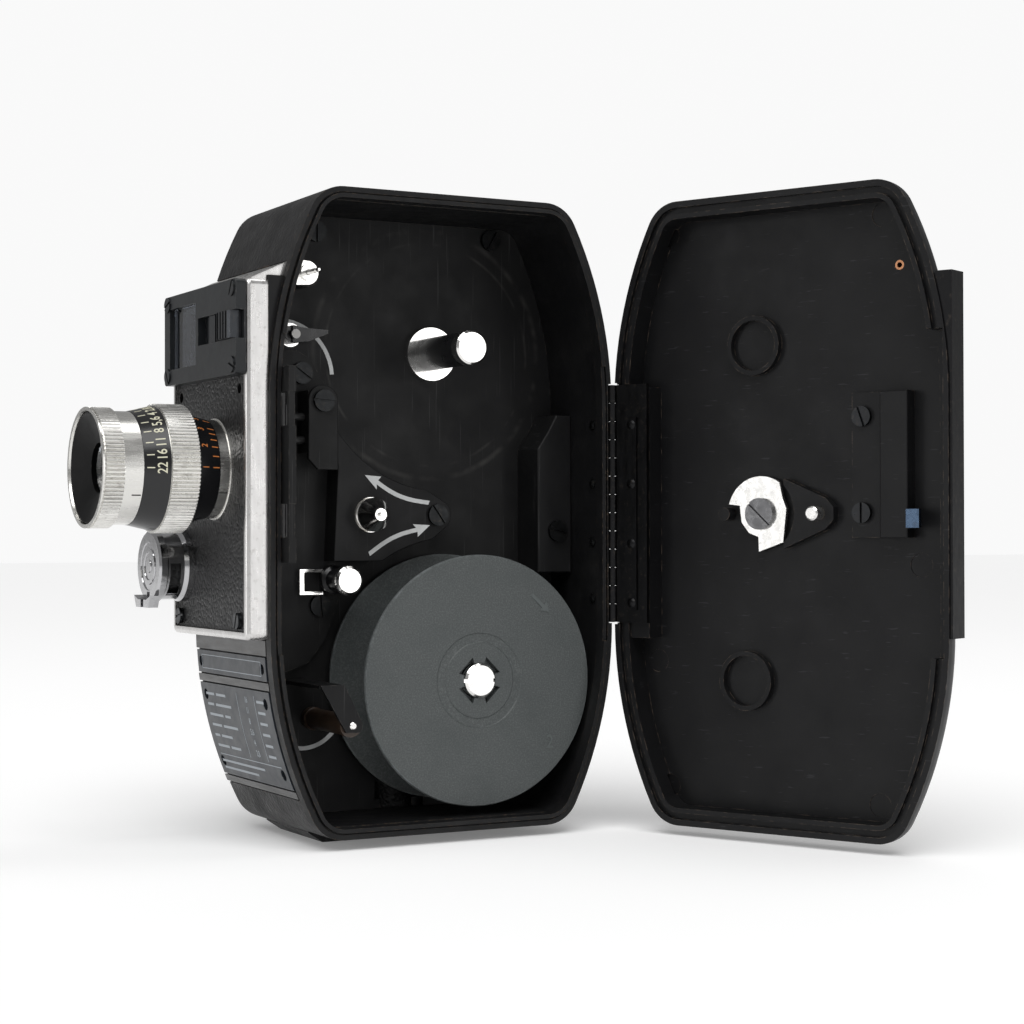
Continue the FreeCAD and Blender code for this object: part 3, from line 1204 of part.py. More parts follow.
def lock_screws():
    lock = []
    for number, (x, z) in enumerate(DOOR_SCREWS):
        lock.append(slotted_screw("lock_screw%d" % number, "-y", (x, "0", z), d("4.19"), 0.88,
                                  "1.6", 70 + 20 * number, "1.9"))
    return settle_on_door(group("lock_pair", lock), "lock_screws")


def cam_screw():
    """Large slotted screw that holds the cam to the knob shaft."""
    cam = slotted_screw("cam_screw_one", "-y", ("knob_x", "0", "knob_z"), d("3.49"), 0.88, "0.8",
                        42, "3.0")
    return settle_on_door(group("cam_one", [cam]), "cam_screw")


def door_fittings():
    """Bright pin that meets the centring cone, and the copper bush of the counter hole."""
    pin = placed_turned("meeting_pin", "y", [
        ("0", d("0.5")), ("0", d("6.4")), ("1.35", d("6.4")), ("1.35", d("0.8")),
        ("1.05", d("0.5"))], x="door_pin_x", z="knob_z")
    bush = new_body("counter_bush")
    add_y(bush, d("6.4"), d("4.95"), ring_of(disc("counter_x", "counter_z", "0.88"),
                                            disc("counter_x", "counter_z", "0.5")))
    return settle_on_door(group("door_bright", [pin, bush]), "door_fittings")


def lock_housing():
    """Pressed cover over the bolt, with a screwed flange."""
    body = new_body("lock_housing")
    add_y(body, d("floor_depth - 0.02"), d("4.2"), rect("-57.5", "-50.7", "55.6", "82.4"))
    add_z(body, "55.6", "82.4", shape_of(
        [("-63.1", d("floor_depth - 0.02")), ("-63.1", d("2.0")), ("-57.6", d("2.0")),
         ("-56.6", d("4.3")), ("-56.6", d("floor_depth - 0.02"))]))
    round_edges(body, "0.25", flat_at("Y", d("2.0")))
    cut_z(body, "56.4", "81.6", rect("-62.5", "-58.0", d("6"), d("2.6")))
    cut_y(body, d("3.6"), d("2.15"), rect("-64", "-62", "57.3", "60.9"))
    cut_y(body, d("6"), "1", discs([(x, z, "0.95") for x, z in DOOR_SCREWS]))
    return settle_on_door(body, "lock_housing")


def latch_bolt():
    """Blued bolt with a hooked tip that passes behind the keeper bar."""
    body = new_body("latch_bolt")
    add_z(body, "57.4", "60.8", shape_of(
        [("-66.0", d("0.7")), ("-66.0", d("1.6")), ("-64.4", d("1.6")), ("-64.4", d("3.5")),
         ("-58.2", d("3.5")), ("-58.2", d("2.65")), ("-62.4", d("2.65")), ("-62.4", d("2.25")),
         ("-63.4", d("2.25")), ("-63.4", d("0.7"))]))
    return settle_on_door(body, "latch_bolt")


def front_band():
    """Strip on the front edge of the door, hollowed to fit the rounded wall."""
    blank = new_body("band_blank")
    add_y(blank, d("floor_depth"), d("0.3"), rect("-72.8", "-69.5", "37.6", "103.3"))
    form = new_body("band_form")
    add_y(form, d("door_thick + 0.03"), "1", case_band("-0.03"))
    round_edges(form, "door_round", flat_at("Y", d("door_thick + 0.03")))
    band = doc.addObject("Part::Cut", "band_cut")
    band.Base, band.Tool = blank, form
    return settle_on_door(band, "front_band")


def door_hinge_leaf():
    """Door leaf with its knuckles and a riveted strip on the chamber side."""
    def holes(body):
        cut_y(body, "-3", "1", discs([("-4.6", z, "0.62") for z in DOOR_RIVETS]))
    body = leaf("door_hinge_leaf", 1,
                [("-8", "-1.0"), ("-0.2", "-1.0"), ("0.1", "-0.7"), ("-0.4", "-0.15"),
                 ("-8", "-0.15")], holes)
    return settle_on_door(body, "door_hinge_leaf")


def door_rivets():
    """Rivets of the door leaf with their backing strip."""
    strip = new_body("rivet_strip")
    add_y(strip, "-0.14", "0.25", rect("-5.8", "-3.2", "41.5", "79.2"))
    cut_y(strip, "-1", "1", discs([("-4.6", z, "0.62") for z in DOOR_RIVETS]))
    members = [strip]
    for number, z in enumerate(DOOR_RIVETS):
        rivet = turned("door_rivet%d" % number, "y", [("0", "0.65"), ("0.6", "0.5"), ("0.95", "0.27"),
                                                      ("0.58", "0.27"), ("0.58", "-1.0"),
                                                      ("0", "-1.0")])
        rivet.Placement.Base = FreeCAD.Vector(-4.6, 0, size(z))
        members.append(rivet)
    return settle_on_door(group("leaf_rivets", members), "door_rivets")


# ---- front screws --------------------------------------------------------------

def front_screws():
    """Screws of the front plate, the finder housing and the two label plates."""
    screws = []
    for number, (y, z) in enumerate(FRONT_SCREWS[:2]):
        screws.append(slotted_screw("plate_screw%d" % number, "x", ("0", y, z),
                                    "plate_front - 0.01", 0.88, "1.2", 20 + 60 * number, "1.5"))
    for number, (y, z) in enumerate(FINDER_SCREWS):
        screws.append(slotted_screw("finder_screw%d" % number, "x", ("0", y, z),
                                    "finder_front + 0.49", 0.6, "-0.3", 30 + 40 * number, "1.5"))
    return settle(group("front_screw_set", screws), "front_screws")


PIECES = (
    case_shell, case_covering, base_foot, label_plates, trim_strips, front_frame, front_plate,
    finder_housing, finder_slider, finder_tube, lens_mount, lens_barrel, focus_ring,
    aperture_ring, lens_inner_rings, glass_elements, release_collar, release_button,
    front_screws, mechanism_plate, channel_plate, guide_horn, gate_bridge, gate_block,
    pressure_plate, gate_lever, supply_spindle, supply_sleeve, takeup_spindle, takeup_spool,
    film_roller, loop_roller, roller_bracket, nickel_fittings, counter_pin, hinge_block,
    keeper_strip, chassis_fixings, film_path_marks, shutter, spring_barrel, governor,
    pulldown_claw, key_hub, key_wing, speed_dial, body_hinge_leaf, hinge_pin, door_shell,
    door_covering, door_knob, latch_cam, cam_screw, lock_screws, door_fittings, lock_housing,
    latch_bolt, front_band, door_hinge_leaf, door_rivets)

for make in PIECES:
    make()
doc.recompute()

for item in doc.Objects:
    if "Invalid" in item.State or "Error" in item.State:
        raise RuntimeError("%s did not compute" % item.Name)

os.makedirs("parts", exist_ok=True)
for piece in FINISHED:
    shape = piece.Shape
    if shape.isNull() or not shape.isValid():
        raise RuntimeError("%s has no valid shape" % piece.Label)
    shape.exportStep("parts/%s.step" % piece.Label)
    print("%-18s solids %d volume %.1f" % (piece.Label, len(shape.Solids), shape.Volume))
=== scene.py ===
"""Looks of the cine camera: materials, dial numbers, plates, light and camera."""
import math

import bpy
from mathutils import Matrix, Vector
from mathutils.bvhtree import BVHTree


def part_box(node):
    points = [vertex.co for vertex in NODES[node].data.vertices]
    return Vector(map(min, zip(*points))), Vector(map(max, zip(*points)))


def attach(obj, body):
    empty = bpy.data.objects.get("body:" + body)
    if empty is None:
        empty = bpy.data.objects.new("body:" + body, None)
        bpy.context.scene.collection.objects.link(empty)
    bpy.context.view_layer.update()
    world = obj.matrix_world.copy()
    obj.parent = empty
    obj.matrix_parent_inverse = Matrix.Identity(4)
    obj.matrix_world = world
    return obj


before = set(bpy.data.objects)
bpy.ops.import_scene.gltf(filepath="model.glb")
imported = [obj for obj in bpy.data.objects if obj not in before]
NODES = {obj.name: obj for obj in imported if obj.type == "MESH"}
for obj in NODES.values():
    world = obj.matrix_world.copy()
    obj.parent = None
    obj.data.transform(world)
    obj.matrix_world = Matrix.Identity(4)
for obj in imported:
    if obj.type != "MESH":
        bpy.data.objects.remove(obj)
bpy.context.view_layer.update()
MM = 0.001


# ---- material building -----------------------------------------------------------

class Look:
    """One procedural material; sizes are in millimetres of the real object."""

    def __init__(self, name, color, rough, metal=0.0, spec=0.5):
        self.material = bpy.data.materials.new(name)
        self.material.use_nodes = True
        self.tree = self.material.node_tree
        self.shader = self.tree.nodes["Principled BSDF"]
        self.set(self.shader, {"Base Color": (*color, 1), "Roughness": rough, "Metallic": metal,
                               "Specular IOR Level": spec})
        self.color = (*color, 1)
        self.place = self.node("ShaderNodeTexCoord").outputs["Object"]

    def set(self, node, values):
        for key, value in values.items():
            if isinstance(value, bpy.types.NodeSocket):
                self.tree.links.new(value, node.inputs[key])
            else:
                node.inputs[key].default_value = value

    def node(self, kind, inputs=None, **settings):
        node = self.tree.nodes.new(kind)
        for key, value in settings.items():
            setattr(node, key, value)
        self.set(node, inputs or {})
        return node

    def scaled(self, size, stretch=(1, 1, 1)):
        """Object coordinates in steps of size mm, drawn out along an axis by stretch."""
        per = [1 / (size * MM * s) for s in stretch]
        return self.node("ShaderNodeMapping", {"Vector": self.place, "Scale": per}).outputs[0]

    def noise(self, size, detail=4.0, rough=0.6, stretch=(1, 1, 1)):
        node = self.node("ShaderNodeTexNoise", {"Vector": self.scaled(size, stretch), "Scale": 1.0,
                                                "Detail": detail, "Roughness": rough})
        return node.outputs["Fac"]

    def cells(self, size, feature="F1", output="Distance"):
        node = self.node("ShaderNodeTexVoronoi", {"Vector": self.scaled(size), "Scale": 1.0},
                         feature=feature)
        return node.outputs[output]

    def math(self, operation, a, b=0.0, c=0.0):
        return self.node("ShaderNodeMath", {0: a, 1: b, 2: c}, operation=operation).outputs[0]

    def span(self, value, low, high, out_low=0.0, out_high=1.0):
        node = self.node("ShaderNodeMapRange", {"Value": value, "From Min": low, "From Max": high,
                                                "To Min": out_low, "To Max": out_high})
        return node.outputs[0]

    def blend(self, factor, a, b):
        node = self.node("ShaderNodeMix", data_type="RGBA")
        self.set(node, {0: factor, 6: a, 7: b})
        return node.outputs[2]

    def tint(self, factor, color):
        """Blend the base colour towards color where factor is high."""
        link = self.shader.inputs["Base Color"].links
        base = link[0].from_socket if link else self.color
        self.set(self.shader, {"Base Color": self.blend(factor, base, (*color, 1))})
        return self

    def gloss(self, factor, low, high):
        self.set(self.shader, {"Roughness": self.span(factor, 0.25, 0.75, low, high)})
        return self

    def bump(self, height, depth, strength=1.0):
        """Relief of depth mm, added on top of any earlier relief."""
        link = self.shader.inputs["Normal"].links
        inputs = {"Height": height, "Distance": depth * MM, "Strength": strength}
        if link:
            inputs["Normal"] = link[0].from_socket
        self.set(self.shader, {"Normal": self.node("ShaderNodeBump", inputs).outputs[0]})
        return self

    def edges(self, radius, low=0.02, high=0.12):
        """1 on sharp edges, fading to 0 over radius mm."""
        soft = self.node("ShaderNodeBevel", {"Radius": radius * MM}, samples=6).outputs[0]
        flat = self.node("ShaderNodeNewGeometry").outputs["Normal"]
        same = self.node("ShaderNodeVectorMath", {0: soft, 1: flat}, operation="DOT_PRODUCT")
        return self.span(self.math("SUBTRACT", 1.0, same.outputs["Value"]), low, high)

    def wear(self, radius, edge, patches, spot, color):
        """Rub an edge through to color, in patches; edge and spot are (low, high) limits."""
        rubbed = self.math("MULTIPLY", self.edges(radius, *edge),
                           self.span(self.noise(*patches), *spot))
        return self.tint(rubbed, color)

    def axis(self, letter):
        """One object coordinate in mm."""
        parts = self.node("ShaderNodeSeparateXYZ", {0: self.place})
        return self.math("MULTIPLY", parts.outputs[letter], 1000.0)

    def around(self, x, z):
        """Distance in mm from an axis along y through (x, z)."""
        dx = self.math("SUBTRACT", self.axis("X"), x)
        dz = self.math("SUBTRACT", self.axis("Z"), z)
        return self.math("SQRT", self.math("ADD", self.math("MULTIPLY", dx, dx),
                                           self.math("MULTIPLY", dz, dz)))

    def band(self, value, low, high, soft=0.05):
        """1 where value lies between low and high."""
        return self.math("MULTIPLY", self.span(value, low - soft, low + soft),
                         self.span(value, high + soft, high - soft))


def centre(node):
    """Middle of a node's box in mm."""
    low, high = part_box(node)
    return [(low[i] + high[i]) / 2 / MM for i in range(3)]


def dress(look, *names):
    """Give CAD nodes one look."""
    for name in names:
        slots = NODES[name].data.materials
        slots.clear()
        slots.append(look.material)


def leatherette():
    """Pebbled black covering, rubbed brown at its edges."""
    look = Look("leatherette", (0.0075, 0.0075, 0.0080), 0.46, spec=0.3)
    look.tint(look.span(look.noise(14, 3), 0.45, 0.75), (0.014, 0.0135, 0.0135))
    look.gloss(look.noise(5), 0.36, 0.62)
    pebble = look.cells(0.8)
    look.bump(look.noise(1.1, 4, 0.6), 0.14, 0.8)
    look.bump(look.math("SUBTRACT", 1.0, pebble), 0.16, 0.7)
    look.bump(look.noise(0.3, 3, 0.7), 0.04, 0.6)
    return look.wear(0.35, (0.05, 0.3), (2.2,), (0.5, 0.62), (0.11, 0.075, 0.05))


def rim_paint():
    """Satin black of the case casting, worn along the rim."""
    look = Look("dark_paint", (0.0060, 0.0060, 0.0065), 0.48, spec=0.24)
    look.tint(look.span(look.noise(9, 5), 0.5, 0.8), (0.013, 0.013, 0.013))
    look.gloss(look.noise(3.5, 5), 0.34, 0.58)
    look.bump(look.noise(0.45, 4, 0.7), 0.05, 0.6)
    return look.wear(0.3, (0.05, 0.3), (0.9, 5), (0.5, 0.66), (0.11, 0.078, 0.052))


def chamber_paint(name, x, z):
    """Satin grey with the faint circles that spool flanges rub into it."""
    look = Look(name, (0.0070, 0.0070, 0.0075), 0.52, spec=0.2)
    look.tint(look.span(look.noise(22, 5, 0.6), 0.42, 0.72), (0.013, 0.013, 0.013))
    reach = look.around(x, z)
    ring = look.math("ADD", look.band(reach, 24.3, 25.2, 0.3), look.band(reach, 22.0, 22.4, 0.2))
    rub = look.math("MULTIPLY", ring, look.span(look.noise(11, 3), 0.46, 0.62))
    look.tint(look.math("MULTIPLY", rub, 0.55), (0.055, 0.053, 0.05))
    scratch = look.noise(3, 2, 0.5, (0.12, 1, 6))
    look.tint(look.math("MULTIPLY", look.span(scratch, 0.66, 0.72), 0.4), (0.06, 0.06, 0.06))
    look.gloss(look.noise(6, 4), 0.38, 0.6)
    look.wear(0.25, (0.05, 0.3), (1.5,), (0.5, 0.62), (0.1, 0.09, 0.08))
    return look.bump(look.noise(0.3, 3, 0.6), 0.02, 0.5)


def door_paint():
    """Deep black inside of the door with fine scuffs."""
    look = Look("door_inside", (0.0048, 0.0048, 0.0054), 0.46, spec=0.22)
    look.tint(look.span(look.noise(30, 5, 0.6), 0.42, 0.75), (0.009, 0.009, 0.0095))
    scuff = look.noise(4, 2, 0.5, (1, 1, 0.1))
    look.tint(look.math("MULTIPLY", look.span(scuff, 0.68, 0.74), 0.35), (0.05, 0.05, 0.055))
    look.gloss(look.noise(8, 4), 0.32, 0.5)
    look.wear(0.35, (0.05, 0.3), (1.7, 5), (0.49, 0.62), (0.11, 0.085, 0.065))
    return look.bump(look.noise(0.35, 3, 0.6), 0.025, 0.5)


def metal(name, color, rough, dirt=0.0, brushed=(1, 1, 1), spread=0.12, dark=(0.12, 0.1, 0.08)):
    """Bare metal: brushed stretches its grain along an axis, dirt adds spots of dark."""
    look = Look(name, color, rough, metal=1.0)
    look.gloss(look.noise(1.2, 4, 0.6, brushed), max(0.04, rough - spread), rough + spread)
    look.bump(look.noise(0.5, 3, 0.6, brushed), 0.008, 0.5)
    if dirt:
        spots = look.span(look.noise(1.1, 5, 0.65), 0.56, 0.72)
        look.tint(look.math("MULTIPLY", spots, dirt), dark)
    return look


def frame_metal():
    """Polished casting: darker stripe at the rounded edge, which is a painted reflection, light
    scratches, small dents.
    """
    look = metal("polished_aluminium", (0.66, 0.65, 0.64), 0.3, 0.35, (1, 1, 5), 0.1)
    # painted reflection: the rounded edges are darkened the way a dark reflection shows on
    # polished metal
    look.tint(look.math("MULTIPLY", look.edges(0.9, 0.02, 0.3), 0.65), (0.26, 0.25, 0.24))
    look.bump(look.noise(0.25, 2, 0.5, (1, 1, 14)), 0.01, 0.5)
    return look


def crackle():
    """Wrinkle finish of the front plate and foot."""
    look = Look("crackle_black", (0.006, 0.006, 0.0065), 0.42, spec=0.3)
    look.tint(look.span(look.noise(5, 4), 0.5, 0.8), (0.012, 0.0125, 0.013))
    look.gloss(look.noise(2.2, 4), 0.3, 0.55)
    look.bump(look.span(look.cells(1.15, "DISTANCE_TO_EDGE"), 0.0, 0.35), 0.14, 0.7)
    look.bump(look.noise(0.7, 4, 0.6), 0.16, 0.6)
    return look


def enamel(name, color, rough, spec=0.5, mottled=0.0):
    """Smooth paint with faint lighter clouds and bare edges."""
    look = Look(name, color, rough, spec=spec)
    look.gloss(look.noise(3.0, 4), max(0.05, rough - 0.08), rough + 0.1)
    look.bump(look.noise(0.4, 3), 0.012, 0.4)
    light = tuple(min(1.0, c * 1.8 + 0.004) for c in color)
    look.tint(look.span(look.noise(6, 4), 0.5, 0.85, 0.0, 0.5 + mottled), light)
    return look.wear(0.25, (0.05, 0.3), (1.2, 5), (0.52, 0.64), (0.2, 0.19, 0.18))


def two_tone(name, zones, silver_rough, knurls=()):
    """Lens ring: bright metal with glossy black bands between the given x values in mm."""
    look = metal(name, (0.74, 0.73, 0.70), silver_rough, 0.0, (6, 1, 1), 0.1)
    x = look.axis("X")
    black = 0.0
    for low, high in zones:
        black = look.math("MAXIMUM", black, look.band(x, low, high, 0.02))
    for low, high in knurls:
        grime = look.math("MULTIPLY", look.band(x, low, high, 0.1),
                          look.span(look.noise(1.3, 5, 0.7, (1.6, 1, 0.6)), 0.54, 0.68, 0.0, 0.4))
        look.tint(grime, (0.10, 0.085, 0.065))
    if zones:
        gloss = look.node("ShaderNodeBsdfPrincipled", {
            "Base Color": (0.007, 0.007, 0.008, 1), "Roughness": 0.24, "Specular IOR Level": 0.5})
        pick = look.node("ShaderNodeMixShader", {0: black, 1: look.shader.outputs[0],
                                                 2: gloss.outputs[0]})
        out = next(n for n in look.tree.nodes if n.type == "OUTPUT_MATERIAL")
        look.set(out, {"Surface": pick.outputs[0]})
    return look


def spool_plastic():
    """Grey grained plastic, scuffed towards the flange's edge."""
    x, _, z = centre("takeup_spool")
    look = Look("spool_plastic", (0.062, 0.069, 0.069), 0.5, spec=0.4)
    look.tint(look.span(look.noise(0.3, 2, 0.7), 0.45, 0.7, 0.0, 0.8), (0.115, 0.124, 0.124))
    look.tint(look.span(look.noise(12, 4), 0.48, 0.8, 0.0, 0.5), (0.045, 0.053, 0.054))
    look.bump(look.noise(0.26, 2, 0.7), 0.06, 0.9)
    reach = look.around(x, z)
    scuffed = look.math("MULTIPLY", look.band(reach, 23.9, 25.0, 0.15),
                        look.span(look.noise(2.5, 4), 0.45, 0.65))
    look.tint(look.math("MULTIPLY", scuffed, 0.6), (0.15, 0.165, 0.17))
    look.gloss(look.noise(2, 4), 0.42, 0.6)
    return look


def glass():
    """Clear glass with a bluish coating."""
    look = Look("coated_glass", (0.75, 0.82, 0.95), 0.02, spec=0.7)
    look.set(look.shader, {"Transmission Weight": 1.0, "IOR": 1.5})
    return look.bump(look.noise(20, 2), 0.002, 0.2)


def cam_metal():
    """Nickel disc worn round its screw."""
    look = metal("worn_nickel", (0.80, 0.79, 0.77), 0.26, 0.2, (1, 1, 1), 0.08, (0.3, 0.29, 0.28))
    look.tint(look.span(look.noise(3.4, 4, 0.6), 0.5, 0.8, 0.0, 0.35), (0.50, 0.49, 0.48))
    return look


def door_bright():
    """Copper bush above, nickel pin at the middle of the door."""
    look = metal("bush_copper", (0.62, 0.30, 0.16), 0.3, 0.3)
    return look.tint(look.span(look.axis("Z"), 84, 85, 1.0, 0.0), (0.80, 0.79, 0.77))


def lever_paint():
    """Black lever with a bare pivot tip."""
    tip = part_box("gate_lever")[0][1] / MM + 0.25
    look = enamel("gate_lever_black", (0.008, 0.008, 0.009), 0.3)
    return look.tint(look.span(look.axis("Y"), tip - 0.1, tip + 0.1, 1.0, 0.0), (0.55, 0.54, 0.52))


SUPPLY, TAKEUP = centre("supply_spindle"), centre("takeup_spindle")
PAINTED = (
    (leatherette(), ("case_covering", "door_covering")),
    (rim_paint(), ("case_shell",)),
    (door_paint(), ("door_shell", "lock_housing")),
    (chamber_paint("chamber_upper", SUPPLY[0], SUPPLY[2]), ("mechanism_plate",)),
    (chamber_paint("chamber_lower", TAKEUP[0], TAKEUP[2]),
     ("channel_plate", "guide_horn", "gate_bridge", "roller_bracket", "hinge_block",
      "keeper_strip")),
    (frame_metal(), ("front_frame",)),
    (crackle(), ("front_plate", "base_foot")),
    (enamel("finder_paint", (0.009, 0.0105, 0.012), 0.36, 0.35), ("finder_housing",)),
    (enamel("finder_inside", (0.002, 0.002, 0.0022), 0.5, 0.12),
     ("finder_tube", "lens_inner_rings")),
    (enamel("label_blue", (0.016, 0.020, 0.026), 0.38, mottled=0.2), ("label_plates",)),
    (metal("strip_metal", (0.13, 0.13, 0.13), 0.42, 0.5, (1, 6, 1)), ("trim_strips",)),
    (metal("dark_screws", (0.055, 0.058, 0.062), 0.36, 0.3), ("front_screws",)),
    (metal("black_screws", (0.026, 0.027, 0.028), 0.4, 0.3), ("chassis_fixings",)),
    (metal("slider_metal", (0.05, 0.053, 0.058), 0.34, 0.2), ("finder_slider",)),
    (metal("release_chrome", (0.50, 0.50, 0.51), 0.14, 0.3, (1, 1, 1), 0.06, (0.2, 0.19, 0.18)),
     ("release_collar", "release_button")),
    (metal("chrome", (0.80, 0.81, 0.82), 0.1, 0.25, (1, 1, 1), 0.06, (0.3, 0.28, 0.25)),
     ("key_hub", "key_wing", "speed_dial")),
    (two_tone("index_metal", (), 0.24), ("lens_mount", "lens_barrel")),
    (two_tone("focus_metal", ((-58, -52.25), (-46.85, -42.0)), 0.26, ((-52.2, -46.9),)),
     ("focus_ring",)),
    (two_tone("aperture_metal", (), 0.26, ((-64.4, -60.6),)), ("aperture_ring",)),
    (glass(), ("glass_elements",)),
    (metal("nickel", (0.86, 0.85, 0.83), 0.14, 0.15, (1, 1, 1), 0.08),
     ("supply_spindle", "takeup_spindle", "nickel_fittings", "counter_pin")),
    (door_bright(), ("door_fittings",)),
    (enamel("lever_black", (0.008, 0.008, 0.009), 0.3), ("supply_sleeve", "loop_roller")),
    (lever_paint(), ("gate_lever",)),
    # painted shade: near-black paint on the gate block, whose gate plate is polished steel, stands
    # in for the shade deep in the chamber
    (enamel("gate_dark_painted_shade", (0.010, 0.010, 0.0105), 0.42), ("gate_block", "pressure_plate")),
    (spool_plastic(), ("takeup_spool",)),
    (enamel("roller_brown", (0.045, 0.028, 0.018), 0.4), ("film_roller",)),
    (enamel("white_marks", (0.52, 0.53, 0.53), 0.5), ("film_path_marks",)),
    (metal("inner_steel", (0.35, 0.35, 0.36), 0.35),
     ("shutter", "spring_barrel", "pulldown_claw")),
    (metal("inner_brass", (0.62, 0.46, 0.2), 0.3), ("governor",)),
    (metal("hinge_steel", (0.022, 0.022, 0.023), 0.4, 0.3, (1, 1, 4)),
     ("body_hinge_leaf", "door_hinge_leaf", "hinge_pin", "door_rivets", "front_band")),
    (metal("knob_metal", (0.7, 0.7, 0.69), 0.25, 0.2), ("door_knob",)),
    (cam_metal(), ("latch_cam",)),
    (metal("cam_screw_metal", (0.16, 0.16, 0.165), 0.3, 0.2), ("cam_screw",)),
    (metal("lock_screw_metal", (0.035, 0.036, 0.038), 0.34, 0.2), ("lock_screws",)),
    (metal("blue_steel", (0.10, 0.15, 0.23), 0.25, 0.2), ("latch_bolt",)),
)
for look, names in PAINTED:
    dress(look, *names)


# ---- printed and moulded marks -----------------------------------------------------

def ink(name, color, rough=0.45):
    """Paint of a printed or moulded mark."""
    look = Look(name, color, rough)
    look.tint(look.span(look.noise(0.5, 3), 0.55, 0.75, 0.0, 0.5), tuple(c * 0.6 for c in color))
    return look.bump(look.noise(0.3, 3), 0.01, 0.4)


def glyphs(text, height):
    """Flat outline mesh of a text, centred, height mm tall, as (vertices in mm, faces)."""
    curve = bpy.data.curves.new("glyphs", "FONT")
    curve.body = text
    curve.align_x, curve.align_y = "CENTER", "CENTER"
    curve.size = height / 0.70
    curve.resolution_u = 3
    curve.offset = 0.012 * height
    source = bpy.data.objects.new("glyphs", curve)
    bpy.context.scene.collection.objects.link(source)
    bpy.context.view_layer.update()
    mesh = bpy.data.meshes.new_from_object(source.evaluated_get(
        bpy.context.evaluated_depsgraph_get()))
    verts = [(v.co.x * 0.86, v.co.y) for v in mesh.vertices]
    faces = [tuple(p.vertices) for p in mesh.polygons]
    bpy.data.objects.remove(source)
    bpy.data.meshes.remove(mesh)
    return verts, faces


def bar(width, height, steps=1):
    """Flat bar centred on the origin, cut into steps along its width."""
    verts, faces = [], []
    for i in range(steps + 1):
        u = width * (i / steps - 0.5)
        verts += [(u, -height / 2), (u, height / 2)]
    for i in range(steps):
        faces.append((2 * i, 2 * i + 2, 2 * i + 3, 2 * i + 1))
    return verts, faces


def raised(name, shapes, place, thick, look, body):
    """Thin solid marks: shapes are (vertices, faces, spot); place maps (u, v, w, spot) to mm."""
    verts, faces = [], []
    for points, polygons, spot in shapes:
        start = len(verts)
        verts += [place(u, v, 0.0, spot) for u, v in points]
        verts += [place(u, v, thick, spot) for u, v in points]
        count = len(points)
        edges = {}
        for polygon in polygons:
            faces.append([start + count + i for i in polygon])
            faces.append([start + i for i in reversed(polygon)])
            for a, b in zip(polygon, polygon[1:] + polygon[:1]):
                edges[(a, b)] = edges.get((a, b), 0) + 1
        for a, b in edges:
            if (b, a) not in edges:
                faces.append([start + a, start + b, start + count + b, start + count + a])
    mesh = bpy.data.meshes.new(name)
    mesh.from_pydata([tuple(c * MM for c in v) for v in verts], [], faces)
    mesh.validate()
    piece = bpy.data.objects.new(name, mesh)
    bpy.context.scene.collection.objects.link(piece)
    mesh.materials.append(look.material)
    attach(piece, body)
    return piece


LENS_Y, LENS_Z = centre("lens_mount")[1:]


def on_ring(radius_at):
    """Place marks on the lens: reading upwards, tops towards the front; spot is (x, degrees)."""
    def place(u, v, w, spot):
        x = spot[0] - v
        r = radius_at(x) + w
        turn = math.radians(spot[1]) + u / r
        return (x, LENS_Y - r * math.cos(turn), LENS_Z + r * math.sin(turn))
    return place


def cone(x0, r0, x1, r1):
    """Radius of a cone at x, from its radii at two places."""
    return lambda x: r0 + (r1 - r0) * (x - x0) / (x1 - x0)


STOP_STEP, STOP_START = 12.4, -1.0
stop_cone = cone(-57.0, 10.5, -52.2, 11.6)
reach_cone = cone(-47.0, 10.5, -42.15, 9.3)
cream, orange = ink("cream_ink", (0.62, 0.60, 0.46)), ink("orange_ink", (0.62, 0.20, 0.05))
dark_ink = ink("dark_ink", (0.01, 0.01, 0.01))
stops = [(*glyphs(text, 1.75), (-53.75, STOP_START + i * STOP_STEP))
         for i, text in enumerate(("22", "16", "11", "8", "5,6", "4", "2,8", "1,8"))]
stops += [(*bar(0.22, 1.35), (-55.85, STOP_START + i * STOP_STEP)) for i in range(8)]
raised("stop_numbers", stops, on_ring(stop_cone), 0.03, cream, "focus")
reaches = [(*glyphs(text, 1.25), (-45.1, turn))
           for text, turn in (("1", 0.5), ("2", 24), ("3", 46), ("5", 66), ("10", 88))]
reaches += [(*bar(0.2, 1.3), (-43.0, turn)) for turn in (0, 12.5, 23.5, 32.5, 41, 49, 66, 88)]
raised("distance_numbers", reaches, on_ring(reach_cone), 0.03, orange, "focus")
raised("stop_index", [(*bar(0.24, 1.7), (-58.1, -29.5))], on_ring(lambda x: 10.46), 0.02,
       dark_ink, "aperture")
raised("distance_index", [(*bar(0.22, 1.5), (-41.2, -29.5))], on_ring(lambda x: 9.31), 0.02,
       dark_ink, "case")


def surface(*names):
    """Ray target made of CAD nodes, in the row frame."""
    verts, faces = [], []
    for name in names:
        mesh = NODES[name].data
        start = len(verts)
        world = NODES[name].matrix_world
        verts += [world @ v.co for v in mesh.vertices]
        faces += [[start + i for i in p.vertices] for p in mesh.polygons]
    return BVHTree.FromPolygons(verts, faces)


def on_front(tree, y_middle):
    """Place marks on the front wall, read from the front; spot is (y, z)."""
    def place(u, v, w, spot):
        z = spot[1] + v
        hit = tree.ray_cast(Vector((-0.1, y_middle * MM, z * MM)), Vector((1, 0, 0)), 0.2)[0]
        return (hit.x / MM - w, spot[0] - u, z)
    return place


def upright(width, height, steps):
    """Flat upright bar cut into steps along its height, to follow a bent plate."""
    verts, faces = bar(height, width, steps)
    return [(v, u) for u, v in verts], [face[::-1] for face in faces]


TABLE_TOP, TABLE_STEP = 27.4, 2.05
WORDS = ((0.07, 0.19, 0.22, 0.36), (0.07, 0.16, 0.19, 0.42), (0.07, 0.27, 0.30, 0.38),
         (0.07, 0.21, 0.24, 0.45), (0.07, 0.14, 0.17, 0.33), (0.07, 0.24, 0.27, 0.41))
STOPS = ("16", "11", "8", "5,6", "4", "2,8")
DASH, RULE = 0.5, 0.14


